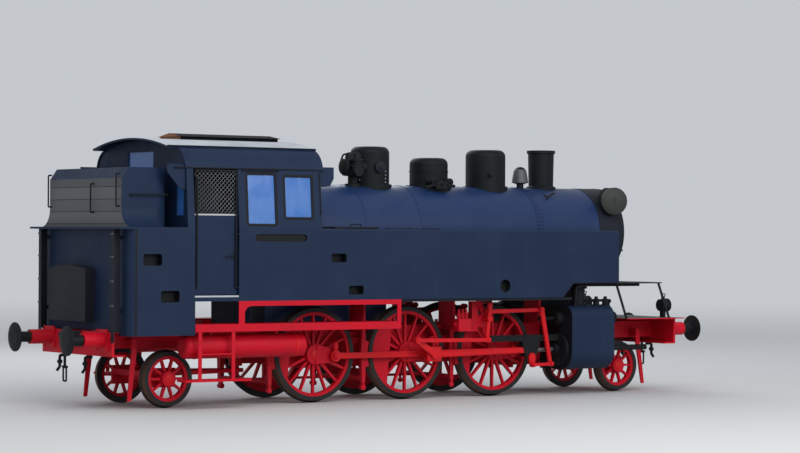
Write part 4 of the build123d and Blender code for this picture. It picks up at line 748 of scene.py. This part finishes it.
# %% Cab doorways
door_rear, door_front = -4.362, -3.570
for side, hand in side_names:
    for end, jamb, inward in (("rear", door_rear, 0.045), ("front", door_front, -0.045)):
        y = side * 1.481
        rail = bent_pipe([(jamb, y, 1.875), (jamb + inward, y, 1.875), (jamb + inward, y, 3.56),
                          (jamb, side * 1.44, 3.62)], 0.014, 0.035)
        foot = turned((jamb, y, 2.705), (inward, 0, 0),
                      [(-0.004, 0.018), (0.006, 0.018), (0.010, 0.013), (0.040, 0.013)], 12)
        settle(joined([rail, foot]), "grab_rail_%s_%s" % (hand, end), "part black")
    sill = plate((door_rear + 0.002, side * 1.4585, 1.729), (door_front - 0.002, side * 1.4995, 1.757))
    settle(sill, "door_sill_" + hand, "sill grey", 0.004)
print(len(made), "pieces")

# %% [markdown]
# A wire screen fills the doorway above the door and swings with it, so it rides on the door. Woven
# wire could be hundreds of bars. It is made as a grid instead, turned by 45 degrees and cut to size,
# whose edges a Wireframe modifier makes into wire. A pale cap closes the door's top edge.

# %% Cab doors
screen_centre_x, screen_centre_z = -3.966, 3.352
screen_half_width, screen_half_height = 0.368, 0.335


def wire_screen(side):
    rest()
    bpy.ops.mesh.primitive_grid_add(x_subdivisions=26, y_subdivisions=26, size=1.3, location=(0, 0, 0))
    screen = bpy.context.object
    edit_all()
    bpy.ops.transform.rotate(value=radians(45), orient_axis="Z", center_override=(0, 0, 0))
    for place, normal in (((-screen_half_width, 0, 0), (-1, 0, 0)), ((screen_half_width, 0, 0), (1, 0, 0)),
                          ((0, -screen_half_height, 0), (0, -1, 0)), ((0, screen_half_height, 0), (0, 1, 0))):
        bpy.ops.mesh.select_all(action="SELECT")
        bpy.ops.mesh.bisect(plane_co=place, plane_no=normal, clear_outer=True)
    bpy.ops.object.mode_set(mode="OBJECT")
    wire = screen.modifiers.new("wire", "WIREFRAME")
    wire.thickness = 0.006
    bpy.ops.object.modifier_apply(modifier="wire")
    place = Matrix.Translation((screen_centre_x, side * 1.431, screen_centre_z))
    screen.matrix_world = place @ Matrix.Rotation(pi / 2, 4, "X")
    return screen


for side, hand in side_names:
    door = hand + "_cab_door"
    settle(plate((-4.350, side * 1.406, 2.989), (-3.582, side * 1.458, 3.016)), "door_cap_" + hand,
           "sill grey", 0.004, door)
    settle(frame_ring((screen_centre_x, side * 1.438, screen_centre_z), (0.752, 0.690), 0.02, 0.024, 0.014,
                      (-side, 0, 0)), "door_screen_frame_" + hand, "part black", 0.003, door)
    settle(wire_screen(side), "door_screen_" + hand, "door wire", body=door)
    handle = turned((-3.66, side * 1.452, 2.36), (0, side, 0),
                    [(-0.002, 0.03), (0.006, 0.03), (0.008, 0.012), (0.030, 0.012), (0.032, 0.018),
                     (0.042, 0.012)])
    y = side * 1.486
    lever = bent_pipe([(-3.66, y, 2.36), (-3.72, y, 2.36), (-3.80, y, 2.352)], 0.009, 0.02)
    settle(joined([handle, lever]), "door_handle_" + hand, "part black", body=door)
print(len(made), "pieces")

# %% [markdown]
# The bunker is climbed by hand rails, on its sides and on its rear wall. Each is bent from one bar
# with its feet turned in, as it would be forged. Bright bolt heads stand on the rear uprights.

# %% Bunker fittings
for side, hand in side_names:
    y, off = side * 1.182, side * 1.235
    rail = bent_pipe([(-5.318, y, 3.297), (-5.318, off, 3.297), (-4.700, off, 3.303), (-4.700, y, 3.303)],
                     0.013, 0.03)
    settle(rail, "coal_rail_" + hand, "part black")
for name, y, low, high in (("right", -1.12, 3.12, 3.62), ("middle", -0.30, 3.03, 3.47),
                           ("left", 1.12, 3.12, 3.62)):
    rail = bent_pipe([(-5.47, y, low), (-5.53, y, low), (-5.53, y, high), (-5.47, y, high)], 0.013, 0.03)
    settle(rail, "coal_upright_rail_" + name, "part black")
bolts("upright_bolts", "rod steel", rearwards, 0.016,
      [(-5.632, side * 1.2 + across, z) for side in (-1, 1) for across in (-0.026, 0.026)
       for z in (1.61, 1.98, 2.35, 2.70)])
print(len(made), "pieces")

# %% [markdown]
# On each tank top the filling lid sits in a raised rim and has a handle to lift it by, and a bolted
# plate closes the second hole. The handle rides on the lid, so that it opens with it.

# %% Tank tops
for side, hand in side_names:
    rim = frame_ring((-1.295, side * 1.155, tank_top), (0.856, 0.478), 0.05, 0.014, 0.030, up=(0, 1, 0))
    settle(rim, "lid_rim_" + hand, "part black", 0.003)
    grip = bent_pipe([(x, side * 1.33, z) for x, z in ((-1.40, 2.828), (-1.40, 2.872), (-1.19, 2.872),
                                                       (-1.19, 2.828))], 0.009, 0.02)
    settle(grip, "lid_grip_" + hand, "part black", body=hand + "_tank_lid")
    cover = plate((-0.455, side * 0.93, tank_top), (0.355, side * 1.38, 2.812))
    settle(cover, "tank_cover_" + hand, "part black", 0.004)
    bolts("tank_cover_bolts_" + hand, "part black", upwards, 0.010,
          [(-0.42 + 0.148 * i, side * y, 2.812) for i in range(6) for y in (0.955, 1.355)])
print(len(made), "pieces")

# %% [markdown]
# Two safety valves stand behind the steam dome and let steam off when the pressure is too high. Each
# is a stack of flanges round a spring, so its outline is a lathe profile, given as pairs of height
# and radius. A column carries them, and levers hang from their tops.

# %% Safety valves
valve_profile = [(0.0, 0.075), (0.03, 0.120), (0.065, 0.120), (0.070, 0.088), (0.115, 0.088),
                 (0.120, 0.126), (0.160, 0.126), (0.165, 0.092), (0.215, 0.092), (0.220, 0.116),
                 (0.255, 0.116), (0.260, 0.078), (0.330, 0.066), (0.375, 0.030)]
valve_places = ((-0.60, -0.31), (-0.56, -0.03))
valves = [turned((x, y, 3.70), upwards, valve_profile, 16) for x, y in valve_places]
branch = turned((-0.82, -0.18, 3.83), forwards,
                [(0, 0.08), (0.03, 0.13), (0.07, 0.13), (0.075, 0.09), (0.46, 0.09)])
across = turned((-0.62, -0.42, 3.76), leftwards, [(0, 0.09), (0.03, 0.10), (0.44, 0.08), (0.445, 0.05)])
column = turned((-0.58, -0.16, 3.46), upwards, [(0, 0.13), (0.09, 0.13), (0.095, 0.08), (0.30, 0.08)])
levers = [bent_pipe([(x, y, 4.06), (x - 0.14, y - 0.02, 4.03), (x - 0.20, y - 0.02, 3.88)], 0.016, 0.04)
          for x, y in valve_places]
settle(joined(valves + levers + [branch, across, column]), "safety_valves", "part black")
print(len(made), "pieces")

# %% [markdown]
# The domes carry rows of pale rivets, a round cover, the feed valves with their pipe, and the valve
# of the sander. A dome is round, so its fittings are placed by an angle that runs from the right-hand
# side towards the rear, and they face outwards there.

# %% Dome fittings
steam_dome_radius, sand_dome_radius = 0.365, 0.343


def outward_of(azimuth):
    return (-sin(radians(azimuth)), -cos(radians(azimuth)), 0)


def dome_place(centre, radius, azimuth, z):
    return (centre - radius * sin(radians(azimuth)), -radius * cos(radians(azimuth)), z)


for end, azimuth, low, step, count in (("rear", 62, 3.62, 0.064, 6), ("front", -12, 3.58, 0.060, 4)):
    rivets("steam_dome_rivets_" + end, "sill grey", outward_of(azimuth), 0.010,
           [dome_place(steam_dome_x, steam_dome_radius, azimuth, low + step * i) for i in range(count)])
cover = turned(dome_place(steam_dome_x, steam_dome_radius, 5, 3.83), outward_of(5),
               [(-0.03, 0.095), (0.016, 0.095), (0.022, 0.070), (0.036, 0.060), (0.040, 0.030),
                (0.060, 0.026)], 24)
settle(cover, "steam_dome_cover", "smokebox black")
check_valves = [turned((x, -0.36, z), (0, -1, 0),
                       [(-0.05, r), (0.04, r), (0.045, r * 0.7), (0.08, r * 0.7), (0.085, r * 0.95),
                        (0.11, r * 0.95), (0.115, r * 0.3), (0.15, r * 0.3)], 14)
                for x, z, r in ((0.86, 3.62, 0.062), (1.02, 3.56, 0.080), (1.19, 3.60, 0.070))]
feed_run = bent_pipe([(0.72, -0.43, 3.50), (0.86, -0.44, 3.55), (1.02, -0.45, 3.49), (1.30, -0.44, 3.54)],
                     0.026, 0.05)
stems = [turned((x, -0.45, 3.48), upwards, [(0, 0.030), (0.14, 0.030), (0.145, 0.045), (0.165, 0.045)], 12)
         for x in (0.94, 1.11)]
settle(joined(check_valves + stems + [feed_run]), "feed_valves", "part black")
settle(band((feed_dome_x, 0, 3.770), upwards, 0.324, 0.022, 0.010), "feed_dome_seam", "dome charcoal")
box_place = dome_place(sand_dome_x, sand_dome_radius, 23, 3.745)
sand_box = turned(box_place, outward_of(23),
                  [(-0.02, 0.060), (0.020, 0.060), (0.024, 0.040), (0.050, 0.036)], 4)
knob = turned(box_place, outward_of(23), [(0.045, 0.020), (0.080, 0.020), (0.085, 0.030), (0.100, 0.024)], 12)
settle(joined([sand_box, knob]), "sand_valve", "part black")
handle = bent_pipe([(3.20, -0.52, 3.30), (3.22, -0.52, 3.38), (3.42, -0.47, 3.45)], 0.015, 0.03)
fork = bent_pipe([(3.15, -0.50, 3.42), (3.22, -0.52, 3.375)], 0.013)
settle(joined([handle, fork]), "blower_handle", "part black")
print(len(made), "pieces")

# %% [markdown]
# Steam comes down to each valve chest through a flanged pipe from the front platform. Two small
# valves stand on the chest, joined by a pipe, and a longer pipe runs forwards beside them. Drain
# cocks hang below, and a gland guides the piston's tail rod. Pipes are bent and the rest is turned.

# %% Cylinder fittings
steam_pipe_x = 3.525
for side, hand in side_names:
    steam = turned((steam_pipe_x, side * 1.0, 1.50), upwards,
                   [(0, 0.17), (0.03, 0.17), (0.035, 0.12), (0.30, 0.12), (0.305, 0.16), (0.335, 0.16),
                    (0.34, 0.12), (0.393, 0.12)], 28)
    settle(steam, "steam_pipe_" + hand, "smokebox black")
    bolts("steam_pipe_bolts_" + hand, "part black", upwards, 0.011,
          [(steam_pipe_x + 0.145 * cos(i * pi / 5), side * 1.0 + 0.145 * sin(i * pi / 5), 1.53)
           for i in range(10)])
    loop = bent_pipe([(3.22, side * 1.30, 1.45), (3.22, side * 1.34, 1.84), (3.42, side * 1.34, 1.87),
                      (4.60, side * 1.34, 1.87)], 0.024, 0.10)
    chest_valves = [turned((x, side * 1.16, 1.50), upwards,
                           [(0, 0.085), (0.03, 0.085), (0.035, 0.055), (0.09, 0.055), (0.095, 0.070),
                            (0.125, 0.070), (0.13, 0.03), (0.17, 0.03)]) for x in (3.80, 4.00)]
    run = bent_pipe([(3.55, side * 1.10, 1.60), (3.80, side * 1.16, 1.60), (4.12, side * 1.16, 1.60),
                     (4.12, side * 1.05, 1.50)], 0.022, 0.05)
    settle(joined([loop, run] + chest_valves), "chest_pipes_" + hand, "part black")
    cocks = [turned((x, side * 1.02, 0.437), downwards,
                    [(0, 0.026), (0.03, 0.026), (0.032, 0.015), (0.08, 0.013)]) for x in (3.14, 3.90)]
    settle(joined(cocks), "drain_cocks_" + hand, "part black")
    gland = turned((4.06, side * cylinder_y, driver_height), forwards,
                   [(0, 0.085), (0.02, 0.085), (0.025, 0.058), (0.10, 0.056), (0.105, 0.064), (0.125, 0.060)])
    settle(gland, "tail_rod_gland_" + hand, "part black")
print(len(made), "pieces")

# %% [markdown]
# The big end of a main rod is a block round the crank pin, with cotter bolts and an oil cup on top,
# and the rod itself has raised flanges along its edges. The two sides stand a quarter turn apart, so
# each has its own pin place. The block starts as a plate whose edges a bevel wears round.

# %% Main rods
for side, hand, x, z in ((-1, "right", 0.4037, 0.749), (1, "left", 0.1037, 1.1067)):
    big_end = plate((x - 0.125, side * 1.040, z - 0.125), (x + 0.16, side * 1.130, z + 0.125))
    settle(big_end, "big_end_" + hand, "rod red", 0.012)
    bolts("big_end_bolts_" + hand, "part black", upwards, 0.014,
          [(x + ahead, side * cylinder_y, z + 0.125) for ahead in (-0.08, 0.02, 0.12)])
    cup = turned((x + 0.02, side * cylinder_y, z + 0.13), upwards,
                 [(0, 0.032), (0.045, 0.032), (0.05, 0.024), (0.062, 0.02)])
    settle(cup, "big_end_cup_" + hand, "rod red")
    crosshead_x = sum(reach[side]) / 2
    flanges = [bent_pipe([(x + 0.17, side * 1.125, z + rise),
                          (crosshead_x - 0.19, side * 1.125, driver_height + rise * 0.8)], 0.007)
               for rise in (-0.042, 0.042)]
    settle(joined(flanges), "main_rod_flanges_" + hand, "rod red")
print(len(made), "pieces")

# %% [markdown]
# Round caps close the crank pins and the axle ends, and a tall oil cup stands on the rear eye of each
# coupling rod. A cap rides on its axle and turns with it, and the cup rides on the rod and stays
# upright. All are turned work, so the lathe helper makes them.

# %% Pins, cups and axle ends
for side, hand, ahead, above in ((-1, "right", 0.3287, -0.029), (1, "left", 0.0287, 0.3287)):
    for end in ("rear", "front"):
        axle = end + "_driving_axle"
        x, z = axle_places[axle]
        cap = turned((x + ahead, side * 0.969, z + above), (0, side, 0),
                     [(0, 0.045), (0.010, 0.045), (0.012, 0.03), (0.022, 0.026)])
        settle(cap, "pin_cap_%s_%s" % (end, hand), "rod red", body=axle)
    x, z = axle_places["rear_driving_axle"]
    cup = turned((x + ahead, side * 0.912, z + above + 0.10), upwards,
                 [(0, 0.040), (0.05, 0.048), (0.10, 0.048), (0.105, 0.036), (0.125, 0.030)])
    settle(cup, "coupling_rod_cup_" + hand, "rod red", body=hand + "_coupling_rod")
for axle, (x, z) in axle_places.items():
    caps = [turned((x, side * 0.8385, z), (0, side, 0),
                   [(0, 0.075), (0.008, 0.075), (0.010, 0.06), (0.014, 0.05)]) for side in (-1, 1)]
    settle(joined(caps), "axle_ends_" + axle, "rod red", body=axle)
print(len(made), "pieces")

# %% [markdown]
# The two lamps on the front deck get a domed lens each and a grip to carry them by, and steel straps
# hold the air reservoirs. A lens is turned, because that gives a dome from four steps.

# %% Lamps and reservoirs
for side, hand in side_names:
    y = side * 1.1
    lens = turned((5.448, y, 1.503), forwards,
                  [(-0.002, 0.095), (0.006, 0.094), (0.014, 0.07), (0.018, 0.03)], 32)
    settle(lens, "lamp_lens_" + hand, "lamp glass")
    grip = bent_pipe([(5.32, y, 1.655), (5.32, y, 1.70), (5.40, y, 1.70), (5.40, y, 1.655)], 0.008, 0.02)
    settle(grip, "lamp_grip_" + hand, "part black")
    straps = [band((x, side * 1.188, 0.963), forwards, 0.188, 0.04, 0.006, 40) for x in (-4.20, -2.42)]
    settle(joined(straps), "reservoir_bands_" + hand, "rod red")
print(len(made), "pieces")

# %% [markdown]
# From each draw hook hangs a screw coupling: a shackle, a screw and a link. Brake pipes with their
# cocks bend down beside it, and bolts hold the buffers to the beam. Both ends are alike, so one loop
# makes them, with a sign for the direction in which the beam faces.

# %% Beams and couplings
for end, outward in (("front", 1), ("rear", -1)):
    x = outward * 5.80
    shackle = bent_pipe([(x, -0.055, 1.10), (x, -0.055, 0.86), (x, 0.055, 0.86), (x, 0.055, 1.10)],
                        0.017, 0.05)
    screw = turned((x, 0, 0.87), downwards,
                   [(0, 0.035), (0.03, 0.035), (0.035, 0.022), (0.22, 0.022), (0.225, 0.035), (0.255, 0.035)])
    link = bent_pipe([(x, -0.05, 0.64), (x, -0.05, 0.42), (x, 0.05, 0.42), (x, 0.05, 0.64)], 0.015, 0.05)
    bar = bent_pipe([(x, -0.075, 0.64), (x, 0.075, 0.64)], 0.02)
    settle(joined([shackle, screw, link, bar]), "coupling_" + end, "part black")
    face = outward * beam_face
    pipe_x = face + outward * 0.07
    pipes = []
    for y in (-0.42, 0.42):
        pipes.append(bent_pipe([(face - outward * 0.05, y, 0.80), (pipe_x, y, 0.80), (pipe_x, y, 0.62),
                                (face + outward * 0.12, y, 0.56)], 0.024, 0.05))
        pipes.append(turned((pipe_x, y, 0.70), leftwards,
                            [(-0.035, 0.02), (-0.03, 0.034), (0.03, 0.034), (0.035, 0.02)]))
    settle(joined(pipes), "brake_cocks_" + end, "part black")
    bolts("buffer_bolts_" + end, "rod red", (outward, 0, 0), 0.017,
          [(outward * 5.624, side * 0.875 + across, 1.078 + above)
           for side in (-1, 1) for across in (-0.15, 0.15) for above in (-0.15, 0.15)])
print(len(made), "pieces")
